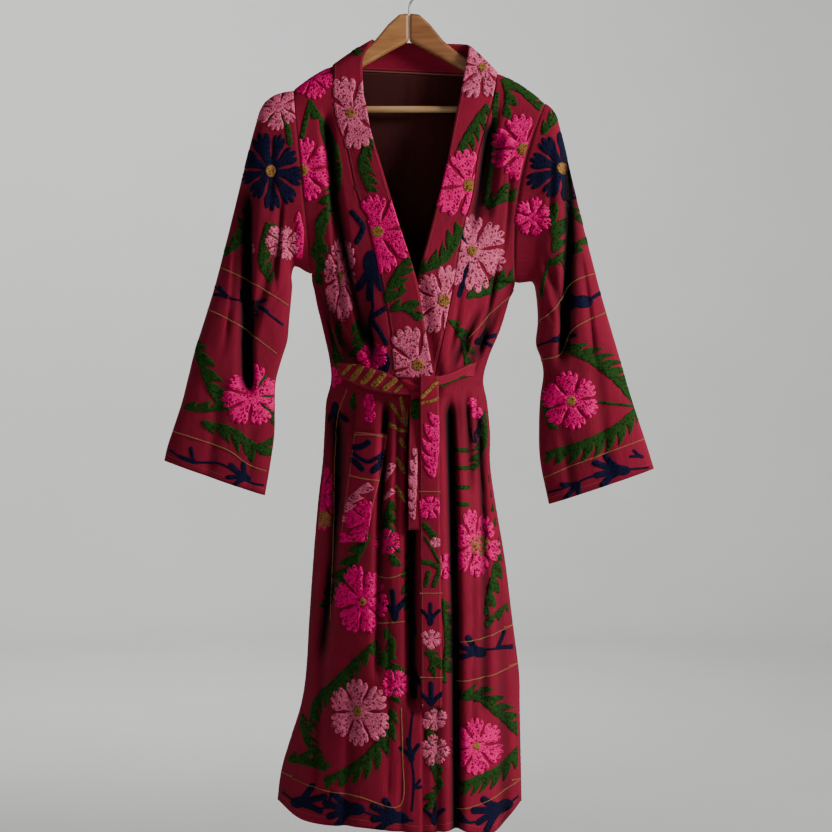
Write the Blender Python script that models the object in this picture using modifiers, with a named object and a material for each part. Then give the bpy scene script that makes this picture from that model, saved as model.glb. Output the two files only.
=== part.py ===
"""Long embroidered coat with a tie belt, hanging closed on a wooden hanger.

Metres, +Z up, the front faces -Y. The origin is the point where the hanger's hook bears.
"Right" and "left" are the wearer's: the right side is at -X.
"""
import math
from collections import namedtuple

import bmesh
import bpy
from mathutils import Vector

# Walls, in metres.
CLOTH = 0.0020
LINING = 0.0012
BAND = 0.0026
BELT = 0.0030
SEAM_GAP = 0.0007
SEAM_HALF = CLOTH / 2 + 0.0003
LENS_POWER = 2.6

# Heights that the pieces share.
WAIST_Z = -0.655
FRONT_JOG_Z = -0.6660
HEM_Z = -1.3650

# Where the shoulder seams run: the neck end, the sleeve end and the underarm, as x and z.
Side = namedtuple("Side", "sign neck_x neck_z tip_x tip_z under_x under_z bow")
RIGHT = Side(-1, -0.123, -0.1484, -0.186, -0.1950, -0.157, -0.4820, 0.0)
LEFT = Side(1, 0.141, -0.1600, 0.219, -0.2190, 0.171, -0.4960, -0.020)
ARMHOLE_STEPS = 8
ARMHOLE_FRONT = 0.029
ARMHOLE_BACK = 0.026
ARMHOLE_ROUND = 0.8
NECK_TURN = 0.014
TIP_OUT = 0.0016
SLEEVE_FADE = 0.5

# Side seams from the underarm to the hem.
SideRow = namedtuple("SideRow", "z right left")
SIDE_SEAM = (
    SideRow(-0.480, -0.157, 0.173),
    SideRow(-0.528, -0.149, 0.160),
    SideRow(-0.574, -0.138, 0.146),
    SideRow(-0.620, -0.128, 0.127),
    SideRow(-0.655, -0.125, 0.119),
    SideRow(-0.690, -0.133, 0.125),
    SideRow(-0.740, -0.136, 0.130),
    SideRow(-0.790, -0.139, 0.130),
    SideRow(-0.850, -0.146, 0.138),
    SideRow(-0.945, -0.154, 0.154),
    SideRow(-1.050, -0.161, 0.167),
    SideRow(-1.130, -0.166, 0.177),
    SideRow(-1.180, -0.174, 0.178),
    SideRow(-1.240, -0.192, 0.179),
    SideRow(-1.300, -0.205, 0.180),
    SideRow(-1.380, -0.213, 0.181),
)

# How far the cloth stands in front of and behind the hanger's plane on the centre line.
DepthRow = namedtuple("DepthRow", "z front back")
DEPTH = (
    DepthRow(-0.140, 0.0120, 0.0185),
    DepthRow(-0.200, 0.0200, 0.0215),
    DepthRow(-0.300, 0.0360, 0.0250),
    DepthRow(-0.400, 0.0460, 0.0270),
    DepthRow(-0.500, 0.0530, 0.0280),
    DepthRow(-0.600, 0.0560, 0.0250),
    DepthRow(-0.655, 0.0530, 0.0220),
    DepthRow(-0.700, 0.0590, 0.0260),
    DepthRow(-0.800, 0.0670, 0.0300),
    DepthRow(-1.000, 0.0790, 0.0340),
    DepthRow(-1.200, 0.0880, 0.0370),
    DepthRow(-1.390, 0.0930, 0.0390),
)

# The seam between each front and its band, the band's free edge, and the front edge below the belt.
EdgeRow = namedtuple("EdgeRow", "z x")
SEAM_RIGHT = (
    EdgeRow(-0.148, -0.123), EdgeRow(-0.188, -0.123), EdgeRow(-0.236, -0.117),
    EdgeRow(-0.276, -0.103), EdgeRow(-0.363, -0.083), EdgeRow(-0.403, -0.066),
    EdgeRow(-0.496, -0.045), EdgeRow(-0.580, -0.030), EdgeRow(-0.655, -0.022),
)
SEAM_LEFT = (
    EdgeRow(-0.160, 0.141), EdgeRow(-0.192, 0.138), EdgeRow(-0.240, 0.125),
    EdgeRow(-0.297, 0.110), EdgeRow(-0.360, 0.101), EdgeRow(-0.408, 0.088),
    EdgeRow(-0.467, 0.077), EdgeRow(-0.550, 0.062), EdgeRow(-0.655, 0.040),
)
FREE_RIGHT = (
    EdgeRow(-0.168, -0.080), EdgeRow(-0.214, -0.069), EdgeRow(-0.256, -0.061),
    EdgeRow(-0.320, -0.042), EdgeRow(-0.400, -0.018), EdgeRow(-0.499, 0.013),
    EdgeRow(-0.564, 0.024), EdgeRow(-0.655, 0.040),
)
FREE_LEFT = (
    EdgeRow(-0.155, 0.090), EdgeRow(-0.198, 0.082), EdgeRow(-0.256, 0.070),
    EdgeRow(-0.320, 0.058), EdgeRow(-0.400, 0.038), EdgeRow(-0.499, 0.013),
    EdgeRow(-0.580, 0.000), EdgeRow(-0.655, -0.010),
)
OPEN_EDGE_RIGHT = (
    EdgeRow(-0.655, -0.022), EdgeRow(-0.661, 0.010), EdgeRow(-0.667, 0.034),
    EdgeRow(-0.676, 0.035), EdgeRow(-0.700, 0.027), EdgeRow(-0.800, 0.021),
    EdgeRow(-1.000, 0.021), EdgeRow(-1.390, 0.021),
)
OPEN_EDGE_LEFT = (
    EdgeRow(-0.655, 0.040), EdgeRow(-0.661, 0.010), EdgeRow(-0.667, -0.012),
    EdgeRow(-0.676, -0.013), EdgeRow(-0.700, -0.011), EdgeRow(-0.800, -0.007),
    EdgeRow(-1.000, -0.006), EdgeRow(-1.390, -0.006),
)

# How far a front's inner edge stands out, by the share of the way from the neck to the underarm.
NeckRow = namedtuple("NeckRow", "part depth")
NECK_DEPTH = (
    NeckRow(0.000, SEAM_HALF), NeckRow(0.038, 0.0125), NeckRow(0.146, 0.0165), NeckRow(0.309, 0.0240),
    NeckRow(0.500, 0.0320), NeckRow(0.700, 0.0400), NeckRow(1.000, 0.0490),
)

# Rows of a front: the first run down the armhole, the others are these levels.
FRONT_LEVELS = (-0.515, -0.545, -0.575, -0.605, -0.632, WAIST_Z, -0.661, -0.667, -0.676, -0.700, -0.735,
                -0.785, -0.840, -0.900, -0.965, -1.030, -1.095, -1.155, -1.210, -1.265, -1.315, HEM_Z)
FRONT_COLUMNS = 18

# The hem, seen from the front.
HEM = (
    EdgeRow(-1.3320, -0.213), EdgeRow(-1.3530, -0.179), EdgeRow(-1.3580, -0.150),
    EdgeRow(-1.3580, -0.082), EdgeRow(-1.3640, -0.014), EdgeRow(-1.3680, 0.021),
    EdgeRow(-1.3650, 0.078), EdgeRow(-1.3750, 0.110), EdgeRow(-1.3720, 0.142),
    EdgeRow(-1.3340, 0.181),
)
HEM_REACH = 0.16

# Soft troughs: where each starts and ends, its half width and how deep it is at both ends.
Fold = namedtuple("Fold", "top_x top_z end_x end_z bend half deep_top deep_end")
FRONT_FOLDS = (
    Fold(-0.134, -0.215, -0.060, -0.620, -0.012, 0.017, 0.011, 0.009),
    Fold(-0.140, -0.500, -0.088, -0.640, 0.000, 0.015, 0.005, 0.010),
    Fold(-0.078, -0.480, -0.056, -0.650, 0.004, 0.013, 0.003, 0.010),
    Fold(-0.104, -0.560, -0.074, -0.660, 0.000, 0.011, 0.003, 0.008),
    Fold(0.128, -0.220, 0.096, -0.430, 0.004, 0.016, 0.013, 0.007),
    Fold(0.150, -0.240, 0.122, -0.420, 0.000, 0.014, 0.006, 0.004),
    Fold(0.120, -0.520, 0.062, -0.650, 0.000, 0.015, 0.004, 0.010),
    Fold(0.150, -0.510, 0.090, -0.645, 0.006, 0.014, 0.004, 0.009),
    Fold(0.096, -0.600, 0.108, -0.660, 0.000, 0.010, 0.004, 0.007),
    Fold(-0.117, -0.690, -0.146, -1.120, 0.012, 0.018, 0.014, 0.006),
    Fold(-0.034, -0.672, -0.049, -1.140, -0.004, 0.014, 0.013, 0.005),
    Fold(0.006, -0.680, 0.006, -1.190, -0.002, 0.018, 0.017, 0.010),
    Fold(0.064, -0.675, 0.074, -1.480, 0.004, 0.017, 0.015, 0.013),
    Fold(0.092, -0.665, 0.100, -0.860, 0.000, 0.012, 0.011, 0.003),
    Fold(0.112, -0.690, 0.116, -1.200, 0.006, 0.015, 0.006, 0.007),
    Fold(-0.085, -0.668, -0.092, -0.780, 0.000, 0.012, 0.008, 0.002),
)
BACK_FOLDS = (
    Fold(-0.096, -0.540, -0.060, -0.640, 0.000, 0.024, 0.003, 0.009),
    Fold(0.104, -0.530, 0.062, -0.640, 0.000, 0.024, 0.003, 0.009),
    Fold(-0.010, -0.560, 0.004, -0.640, 0.000, 0.022, 0.002, 0.007),
    Fold(-0.130, -0.300, -0.104, -0.520, 0.008, 0.024, 0.004, 0.006),
    Fold(0.138, -0.320, 0.118, -0.500, -0.006, 0.024, 0.006, 0.004),
    Fold(-0.092, -0.680, -0.118, -1.480, 0.008, 0.024, 0.011, 0.012),
    Fold(-0.034, -0.670, -0.044, -1.300, -0.006, 0.022, 0.012, 0.006),
    Fold(0.020, -0.680, 0.026, -1.480, 0.004, 0.024, 0.012, 0.013),
    Fold(0.074, -0.672, 0.096, -1.480, -0.004, 0.023, 0.012, 0.011),
    Fold(-0.082, -1.020, -0.078, -1.480, 0.000, 0.022, 0.002, 0.009),
)
FOLD_FADE = 0.045
UNDER_DROP = 0.0080
UNDER_BLEND = 0.020
UNDER_REACH = 0.003

# Share of a panel's width over which the troughs fade out beside a seam.
ARMHOLE_FADE = 0.12
SEAM_FADE = 0.10
BACK_FADE = 0.06
FADE_STEPS = 3

# Sleeve rings: the outer edge and the inner edge as x and z, and the depths in front and behind.
Ring = namedtuple("Ring", "outer_x outer_z inner_x inner_z front back")
SLEEVE_RIGHT = (
    Ring(-0.205, -0.1980, -0.168, -0.478, 0.030, 0.024),
    Ring(-0.226, -0.2010, -0.178, -0.472, 0.031, 0.024),
    Ring(-0.243, -0.2100, -0.186, -0.471, 0.032, 0.025),
    Ring(-0.252, -0.2480, -0.190, -0.480, 0.034, 0.026),
    Ring(-0.265, -0.3120, -0.191, -0.490, 0.036, 0.027),
    Ring(-0.282, -0.3820, -0.190, -0.504, 0.036, 0.027),
    Ring(-0.299, -0.4500, -0.192, -0.528, 0.035, 0.026),
    Ring(-0.314, -0.5070, -0.195, -0.560, 0.033, 0.024),
    Ring(-0.331, -0.5620, -0.198, -0.592, 0.032, 0.023),
    Ring(-0.346, -0.6100, -0.208, -0.624, 0.031, 0.022),
    Ring(-0.356, -0.6500, -0.217, -0.660, 0.030, 0.022),
    Ring(-0.366, -0.6900, -0.218, -0.702, 0.029, 0.021),
    Ring(-0.379, -0.7300, -0.219, -0.745, 0.028, 0.020),
    Ring(-0.389, -0.7600, -0.226, -0.795, 0.027, 0.020),
    Ring(-0.395, -0.7850, -0.234, -0.841, 0.026, 0.019),
)
SLEEVE_LEFT = (
    Ring(0.226, -0.2150, 0.178, -0.4970, 0.030, 0.024),
    Ring(0.232, -0.2160, 0.186, -0.4960, 0.031, 0.024),
    Ring(0.238, -0.2300, 0.194, -0.4950, 0.032, 0.025),
    Ring(0.245, -0.2560, 0.200, -0.4960, 0.034, 0.026),
    Ring(0.256, -0.3020, 0.204, -0.5040, 0.036, 0.027),
    Ring(0.268, -0.3540, 0.206, -0.5160, 0.036, 0.027),
    Ring(0.281, -0.4080, 0.208, -0.5340, 0.035, 0.026),
    Ring(0.294, -0.4580, 0.209, -0.5620, 0.033, 0.024),
    Ring(0.308, -0.5120, 0.206, -0.5960, 0.032, 0.023),
    Ring(0.323, -0.5640, 0.214, -0.6200, 0.031, 0.022),
    Ring(0.339, -0.6180, 0.218, -0.6460, 0.030, 0.022),
    Ring(0.352, -0.6640, 0.213, -0.6840, 0.029, 0.021),
    Ring(0.366, -0.7080, 0.211, -0.7300, 0.028, 0.020),
    Ring(0.382, -0.7560, 0.213, -0.7860, 0.027, 0.020),
    Ring(0.395, -0.7980, 0.227, -0.8550, 0.026, 0.019),
)
SLEEVE_FOLDS = (
    Fold(-0.250, -0.340, -0.258, -0.690, -0.006, 0.017, 0.007, 0.011),
    Fold(-0.205, -0.420, -0.262, -0.610, 0.000, 0.016, 0.003, 0.009),
    Fold(-0.300, -0.640, -0.330, -0.840, 0.004, 0.020, 0.004, 0.003),
    Fold(0.250, -0.280, 0.242, -0.640, 0.008, 0.017, 0.007, 0.011),
    Fold(0.212, -0.440, 0.262, -0.600, 0.000, 0.016, 0.003, 0.009),
    Fold(0.296, -0.600, 0.322, -0.830, 0.000, 0.020, 0.003, 0.004),
)

# The band where it turns round the neck: the sewn edge and the free edge as x, y and z.
Turn = namedtuple("Turn", "sewn_x sewn_y sewn_z free_x free_y free_z")
TURN_RIGHT = (
    Turn(-0.1222, -0.0010, -0.1455, -0.0584, -0.0020, -0.1046),
    Turn(-0.1232, -0.0075, -0.1490, -0.0596, -0.0100, -0.1080),
    Turn(-0.1220, -0.0125, -0.1580, -0.0640, -0.0150, -0.1180),
    Turn(-0.1215, -0.0150, -0.1720, -0.0745, -0.0170, -0.1420),
)
TURN_LEFT = (
    Turn(0.1402, -0.0010, -0.1570, 0.0960, -0.0020, -0.1146),
    Turn(0.1412, -0.0075, -0.1605, 0.0962, -0.0110, -0.1190),
    Turn(0.1400, -0.0125, -0.1680, 0.0948, -0.0155, -0.1290),
    Turn(0.1385, -0.0150, -0.1800, 0.0915, -0.0170, -0.1480),
)
BACK_TURN = (
    Turn(-0.1215, 0.0055, -0.1455, -0.0584, 0.0045, -0.1046),
    Turn(-0.1120, 0.0135, -0.1470, -0.0540, 0.0125, -0.1040),
    Turn(-0.0920, 0.0170, -0.1478, -0.0440, 0.0155, -0.1050),
    Turn(-0.0620, 0.0190, -0.1490, -0.0270, 0.0165, -0.1055),
    Turn(-0.0300, 0.0195, -0.1505, -0.0110, 0.0165, -0.1060),
    Turn(0.0050, 0.0195, -0.1520, 0.0080, 0.0165, -0.1062),
    Turn(0.0400, 0.0195, -0.1538, 0.0300, 0.0165, -0.1066),
    Turn(0.0750, 0.0190, -0.1555, 0.0560, 0.0165, -0.1072),
    Turn(0.1050, 0.0170, -0.1570, 0.0780, 0.0155, -0.1080),
    Turn(0.1280, 0.0135, -0.1578, 0.0920, 0.0125, -0.1095),
    Turn(0.1395, 0.0055, -0.1570, 0.0960, 0.0045, -0.1146),
)
BAND_PROUD = 0.0040
BAND_CROWN = 0.0012
BAND_NECK_RISE = 0.0020
BAND_COLUMNS = 4
BAND_END_CLEAR = 0.0025
TURN_PUFF = 0.0016

# The lining behind the neck: its rows on the back's own, and its width at the top and the end.
LINING_ROWS = (0.75, 2, 3, 4, 5, 6, 7, 8, 10)
LINING_COLUMNS = 10
LINING_TOP = (0.20, 0.76)
LINING_END = (0.30, 0.70)
LINING_CLEAR = 0.0009
PIPING_RADIUS = 0.0012
PIPING_CLEAR = 0.0010
PIPING_DROP = 0.0012
PIPING_STEPS = 12

# Pocket corners on the right front, as x and z.
POCKET_TOP = (-0.087, -0.737, -0.033, -0.742)
POCKET_END = (-0.110, -0.914, -0.066, -0.912)
POCKET_CLOTH = 0.0016
POCKET_RAISE = 0.0030
POCKET_FOLLOW = 0.75
POCKET_BOW = 0.4
POCKET_ROWS = 10
POCKET_COLUMNS = 7

# Belt: the middle of each stretch as x and z, its half width, and how far it stands out from the body.
BeltRow = namedtuple("BeltRow", "x z half raise_")
BELT_RIGHT = (
    BeltRow(-0.125, -0.633, 0.017, 0.0045),
    BeltRow(-0.104, -0.638, 0.017, 0.0050),
    BeltRow(-0.078, -0.645, 0.017, 0.0055),
    BeltRow(-0.050, -0.653, 0.017, 0.0065),
    BeltRow(-0.028, -0.661, 0.016, 0.0090),
    BeltRow(-0.0105, -0.668, 0.013, 0.0110),
)
BELT_LEFT = (
    BeltRow(0.121, -0.633, 0.015, 0.0050),
    BeltRow(0.104, -0.637, 0.012, 0.0055),
    BeltRow(0.086, -0.642, 0.009, 0.0060),
    BeltRow(0.066, -0.652, 0.008, 0.0080),
    BeltRow(0.0435, -0.661, 0.010, 0.0110),
)
BELT_GROW = 0.0070
BELT_SIDE_CLEAR = 0.0001
BELT_STEPS = 10
BELT_ACROSS = 3
BACK_BELT_Z = -0.633
BACK_BELT_HALF = 0.017
BACK_BELT_RAISE = 0.0045
TAIL_CLOTH = 0.0024
TAIL_STEPS = 22
TAIL_UNDER_STEPS = 9

# The knot: its middle, its size, and how it is pinched and rounded, as shares of its size.
KNOT_CENTRE = (0.0165, -0.6685)
KNOT_SIZE = (0.0530, 0.0160, 0.0360)
KNOT_RAISE = 0.0045
KNOT_CUTS = 4
KNOT_PINCH = 0.16
KNOT_PINCH_AT = -0.1
KNOT_PINCH_WIDTH = 0.5
KNOT_ROUND = 0.10
KNOT_CROWN = 0.25

# The two hanging ends of the belt.
TAIL = (
    BeltRow(0.0320, -0.6500, 0.0145, 0.0244),
    BeltRow(0.0320, -0.6680, 0.0148, 0.0250),
    BeltRow(0.0322, -0.6900, 0.0150, 0.0216),
    BeltRow(0.0325, -0.7300, 0.0152, 0.0130),
    BeltRow(0.0325, -0.8000, 0.0155, 0.0100),
    BeltRow(0.0330, -0.9000, 0.0160, 0.0090),
    BeltRow(0.0345, -1.0200, 0.0165, 0.0085),
    BeltRow(0.0360, -1.1680, 0.0168, 0.0085),
)
TAIL_UNDER = (
    BeltRow(0.0130, -0.6885, 0.0105, 0.0085),
    BeltRow(0.0120, -0.7300, 0.0115, 0.0058),
    BeltRow(0.0110, -0.8000, 0.0118, 0.0050),
    BeltRow(0.0110, -0.8920, 0.0120, 0.0050),
)

# Hanger.
ArmRow = namedtuple("ArmRow", "x top bottom")
ARM = (
    ArmRow(0.0002, -0.0620, -0.1070), ArmRow(0.0160, -0.0640, -0.1155),
    ArmRow(0.0340, -0.0800, -0.1250), ArmRow(0.0560, -0.1070, -0.1375),
    ArmRow(0.0720, -0.1205, -0.1465), ArmRow(0.0950, -0.1370, -0.1590),
    ArmRow(0.1230, -0.1572, -0.1770), ArmRow(0.1600, -0.1838, -0.2040),
    ArmRow(0.1780, -0.1968, -0.2240), ArmRow(0.1860, -0.2070, -0.2260),
)
ARM_THICK = 0.0150
ARM_BEVEL = 0.0048
ARM_BEVEL_ANGLE = math.radians(50)
ARM_TIP = 0.006
ARM_WELD = 0.00005
BAR_RADIUS = 0.0054
BAR_Z = -0.2170
BAR_REACH = 0.1664
WIRE = 0.0018
HOOK_RADIUS = 0.0195
HOOK_SHANK_END = -0.0630
HOOK_BEND_Z = -0.0520
HOOK_BEND_STEPS = 6
HOOK_ARC = math.radians(200)
HOOK_ARC_STEPS = 16

COLOURS = {
    "cloth": (0.105, 0.011, 0.022, 0.92, 0.0),
    "band": (0.120, 0.013, 0.026, 0.92, 0.0),
    "belt": (0.130, 0.014, 0.026, 0.90, 0.0),
    "lining": (0.026, 0.010, 0.009, 0.88, 0.0),
    "piping": (0.420, 0.210, 0.130, 0.85, 0.0),
    "wood": (0.340, 0.155, 0.055, 0.45, 0.0),
    "steel": (0.450, 0.440, 0.430, 0.32, 1.0),
}


def clear_scene():
    """Remove the objects that the open file holds."""
    for item in list(bpy.data.objects):
        bpy.data.objects.remove(item, do_unlink=True)


def material(name):
    """Make one Principled material of the coat."""
    red, green, blue, rough, metal = COLOURS[name]
    made = bpy.data.materials.get(name)
    if made is None:
        made = bpy.data.materials.new(name)
        made.use_nodes = True
        shader = made.node_tree.nodes["Principled BSDF"]
        shader.inputs["Base Color"].default_value = (red, green, blue, 1.0)
        shader.inputs["Roughness"].default_value = rough
        shader.inputs["Metallic"].default_value = metal
    return made


def smooth(value):
    """Ease from 0 to 1."""
    value = min(max(value, 0.0), 1.0)
    return value * value * (3 - 2 * value)


def along(rows, key, column, value):
    """Read a column of a table where its key column has this value, on a smooth curve."""
    keys = [getattr(row, key) for row in rows]
    cells = [getattr(row, column) for row in rows]
    if keys[0] > keys[-1]:
        keys.reverse()
        cells.reverse()
    if value <= keys[0]:
        return cells[0]
    if value >= keys[-1]:
        return cells[-1]
    low = max(i for i in range(len(keys) - 1) if keys[i] <= value)
    width = keys[low + 1] - keys[low]
    part = (value - keys[low]) / width

    def slope(i):
        before, after = max(i - 1, 0), min(i + 1, len(keys) - 1)
        return (cells[after] - cells[before]) / (keys[after] - keys[before])

    first, last = cells[low], cells[low + 1]
    cubic = part * part * (3 - 2 * part)
    start = part * (1 - part) ** 2 * width * slope(low)
    finish = -part * part * (1 - part) * width * slope(low + 1)
    return first + (last - first) * cubic + start + finish


def mix(first, last, part):
    """Blend two numbers."""
    return first + (last - first) * part


def fold_depth(folds, x, z):
    """Depth of the troughs at a point."""
    total = 0.0
    for fold in folds:
        part = (fold.top_z - z) / (fold.top_z - fold.end_z)
        if part <= 0 or part >= 1:
            continue
        length = fold.top_z - fold.end_z
        middle = mix(fold.top_x, fold.end_x, part) + fold.bend * 4 * part * (1 - part)
        off = abs(x - middle) / fold.half
        if off >= 1:
            continue
        fade = smooth(part * length / FOLD_FADE) * smooth((1 - part) * length / FOLD_FADE)
        total += fade * mix(fold.deep_top, fold.deep_end, part) * (1 + math.cos(math.pi * off)) / 2
    return total


def lens(s):
    """Crown of a flattened tube across its width, 1 at the centre and 0 at the side."""
    return 1 - min(abs(s), 1.0) ** LENS_POWER


def centre_x(z):
    """Middle of the body at a height below the underarm."""
    return (along(SIDE_SEAM, "z", "right", z) + along(SIDE_SEAM, "z", "left", z)) / 2


def body_depth(x, z, face, grow=0.0):
    """How far the smooth body stands from the hanger's plane, below the underarm."""
    middle = centre_x(z)
    side = along(SIDE_SEAM, "z", "left" if x > middle else "right", z)
    half = abs(side - middle) + grow
    full = along(DEPTH, "z", face, z) + grow
    return SEAM_HALF + (full - SEAM_HALF) * lens((x - middle) / half)


def armhole(side, step, face):
    """Point of the armhole seam, from the shoulder tip to the underarm."""
    angle = math.pi * step / ARMHOLE_STEPS
    part = (1 - math.cos(angle)) / 2
    x = mix(side.tip_x, side.under_x, part) + side.bow * 4 * part * (1 - part)
    z = mix(side.tip_z, side.under_z, part)
    reach = ARMHOLE_FRONT if face == "front" else ARMHOLE_BACK
    depth = max(reach * max(math.sin(angle), 0.0) ** ARMHOLE_ROUND, SEAM_HALF)
    return x, depth, z


def under_drop(x, z):
    """How far the under front lies behind the top front where they overlap."""
    edge = OPEN_EDGE_RIGHT if z < FRONT_JOG_Z else FREE_RIGHT
    top_edge = along(edge, "z", "x", z)
    return UNDER_DROP * smooth((top_edge + UNDER_BLEND + UNDER_REACH - x) / UNDER_BLEND)


def hem_drop(x, z):
    """Move a low point down or up so that the last row follows the hem."""
    weight = smooth((HEM_Z + HEM_REACH - z) / HEM_REACH)
    return weight * (along(HEM, "x", "z", x) - HEM_Z)


def front_point(side, row, u):
    """Point on a front: row counts from the shoulder, u runs from the outer edge to the inner."""
    seam = SEAM_RIGHT if side.sign < 0 else SEAM_LEFT
    opening = OPEN_EDGE_RIGHT if side.sign < 0 else OPEN_EDGE_LEFT
    if row <= ARMHOLE_STEPS:
        part = (1 - math.cos(math.pi * row / ARMHOLE_STEPS)) / 2
        outer_x, outer_depth, outer_z = armhole(side, row, "front")
        inner_z = mix(side.neck_z, side.under_z, part)
        inner_x = along(seam, "z", "x", inner_z)
        inner_depth = along(NECK_DEPTH, "part", "depth", part)
        middle = centre_x(side.under_z)
        inner_depth = mix(inner_depth, body_depth(inner_x, inner_z, "front"), smooth(part * 2 - 1))
        x = mix(outer_x, inner_x, u)
        z = mix(outer_z, inner_z, u)
        crown = lens((x - middle) / (outer_x - middle)) / lens((inner_x - middle) / (outer_x - middle))
        depth = mix(outer_depth, inner_depth, crown)
        fade = smooth(u / ARMHOLE_FADE) * smooth((1 - u) / ARMHOLE_FADE) * smooth(row / FADE_STEPS)
    else:
        z = FRONT_LEVELS[row - ARMHOLE_STEPS - 1]
        above = z >= WAIST_Z
        outer_x = along(SIDE_SEAM, "z", "left" if side.sign > 0 else "right", z)
        inner_x = along(seam if above else opening, "z", "x", z)
        x = mix(outer_x, inner_x, u)
        depth = body_depth(x, z, "front")
        fade = smooth(u / SEAM_FADE) * (smooth((1 - u) / SEAM_FADE) if above else 1.0)
        z += hem_drop(x, z)
    depth -= fade * fold_depth(FRONT_FOLDS, x, z)
    if side.sign > 0:
        depth -= under_drop(x, z)
    return Vector((x, -depth, z))


def back_point(row, s):
    """Point on the back: s runs from the right side to the left."""
    if row <= ARMHOLE_STEPS:
        part = (1 - math.cos(math.pi * row / ARMHOLE_STEPS)) / 2
        right = armhole(RIGHT, row, "back")
        left = armhole(LEFT, row, "back")
        top_x = mix(RIGHT.tip_x, LEFT.tip_x, s)
        x = mix(right[0], left[0], s)
        if top_x < RIGHT.neck_x:
            top_z = mix(RIGHT.tip_z, RIGHT.neck_z, (top_x - RIGHT.tip_x) / (RIGHT.neck_x - RIGHT.tip_x))
        elif top_x > LEFT.neck_x:
            top_z = mix(LEFT.neck_z, LEFT.tip_z, (top_x - LEFT.neck_x) / (LEFT.tip_x - LEFT.neck_x))
        else:
            top_z = mix(RIGHT.neck_z, LEFT.neck_z, (top_x - RIGHT.neck_x) / (LEFT.neck_x - RIGHT.neck_x))
        z = mix(top_z, mix(RIGHT.under_z, LEFT.under_z, s), part)
        full = along(DEPTH, "z", "back", z)
        edge = mix(right[1], left[1], s)
        depth = mix(edge, full, lens(2 * s - 1))
        if row == 0:
            inside = min(top_x - RIGHT.neck_x, LEFT.neck_x - top_x)
            depth = mix(SEAM_HALF, full, smooth(inside / NECK_TURN))
        fade = smooth(s / BACK_FADE) * smooth((1 - s) / BACK_FADE) * smooth(row / FADE_STEPS)
    else:
        z = FRONT_LEVELS[row - ARMHOLE_STEPS - 1]
        x = mix(along(SIDE_SEAM, "z", "right", z), along(SIDE_SEAM, "z", "left", z), s)
        depth = body_depth(x, z, "back")
        fade = smooth(s / BACK_FADE) * smooth((1 - s) / BACK_FADE)
        z += hem_drop(x, z)
    depth -= fade * fold_depth(BACK_FOLDS, x, z)
    return Vector((x, depth, z))


def sheet(name, rows, thick, finish, closed=False):
    """Make a cloth wall from rows of points on its middle surface."""
    mesh = bpy.data.meshes.new(name)
    shape = bmesh.new()
    grid = [[shape.verts.new(point) for point in row] for row in rows]
    width = len(grid[0])
    spans = width if closed else width - 1
    for low, high in zip(grid, grid[1:]):
        for i in range(spans):
            j = (i + 1) % width
            shape.faces.new((low[i], low[j], high[j], high[i]))
    bmesh.ops.recalc_face_normals(shape, faces=shape.faces)
    shape.to_mesh(mesh)
    shape.free()
    made = add_object(name, mesh, finish)
    wall = made.modifiers.new("wall", "SOLIDIFY")
    wall.thickness = thick
    wall.offset = 0.0
    wall.use_even_offset = False
    return made


def add_object(name, mesh, finish):
    """Put a mesh in the coat's collection with its material."""
    made = bpy.data.objects.new(name, mesh)
    mesh.materials.append(material(finish))
    bpy.data.collections["long_coat"].objects.link(made)
    return made


def make_front(name, side):
    """Make one front from the shoulder to the hem."""
    count = ARMHOLE_STEPS + 1 + len(FRONT_LEVELS)
    rows = []
    for row in range(count):
        rows.append([front_point(side, row, i / FRONT_COLUMNS) for i in range(FRONT_COLUMNS + 1)])
    sheet(name, rows, CLOTH, "cloth")


def back_columns():
    """Fractions across the back, with a column at each end of the neckline."""
    width = LEFT.tip_x - RIGHT.tip_x
    neck_right = (RIGHT.neck_x - RIGHT.tip_x) / width
    neck_left = (LEFT.neck_x - RIGHT.tip_x) / width
    parts = [neck_right * i / 4 for i in range(4)]
    parts += [mix(neck_right, neck_left, i / 14) for i in range(14)]
    parts += [mix(neck_left, 1.0, i / 5) for i in range(6)]
    return parts


def make_back():
    """Make the back from the shoulders and neck to the hem."""
    count = ARMHOLE_STEPS + 1 + len(FRONT_LEVELS)
    sheet("back", [[back_point(row, s) for s in back_columns()] for row in range(count)], CLOTH, "cloth")


def make_lining():
    """Make the part of the back lining that shows in the neck."""
    rows = []
    inward = CLOTH / 2 + LINING / 2 + LINING_CLEAR
    for number, row in enumerate(LINING_ROWS):
        part = number / (len(LINING_ROWS) - 1)
        first = mix(LINING_TOP[0], LINING_END[0], part)
        last = mix(LINING_TOP[1], LINING_END[1], part)
        line = []
        for i in range(LINING_COLUMNS + 1):
            s = mix(first, last, i / LINING_COLUMNS)
            if row == LINING_ROWS[0]:
                point = back_point(0, s).lerp(back_point(1, s), row)
            else:
                point = back_point(row, s)
            line.append(point - Vector((0, inward, 0)))
        rows.append(line)
    sheet("back_lining", rows, LINING, "lining")


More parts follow.
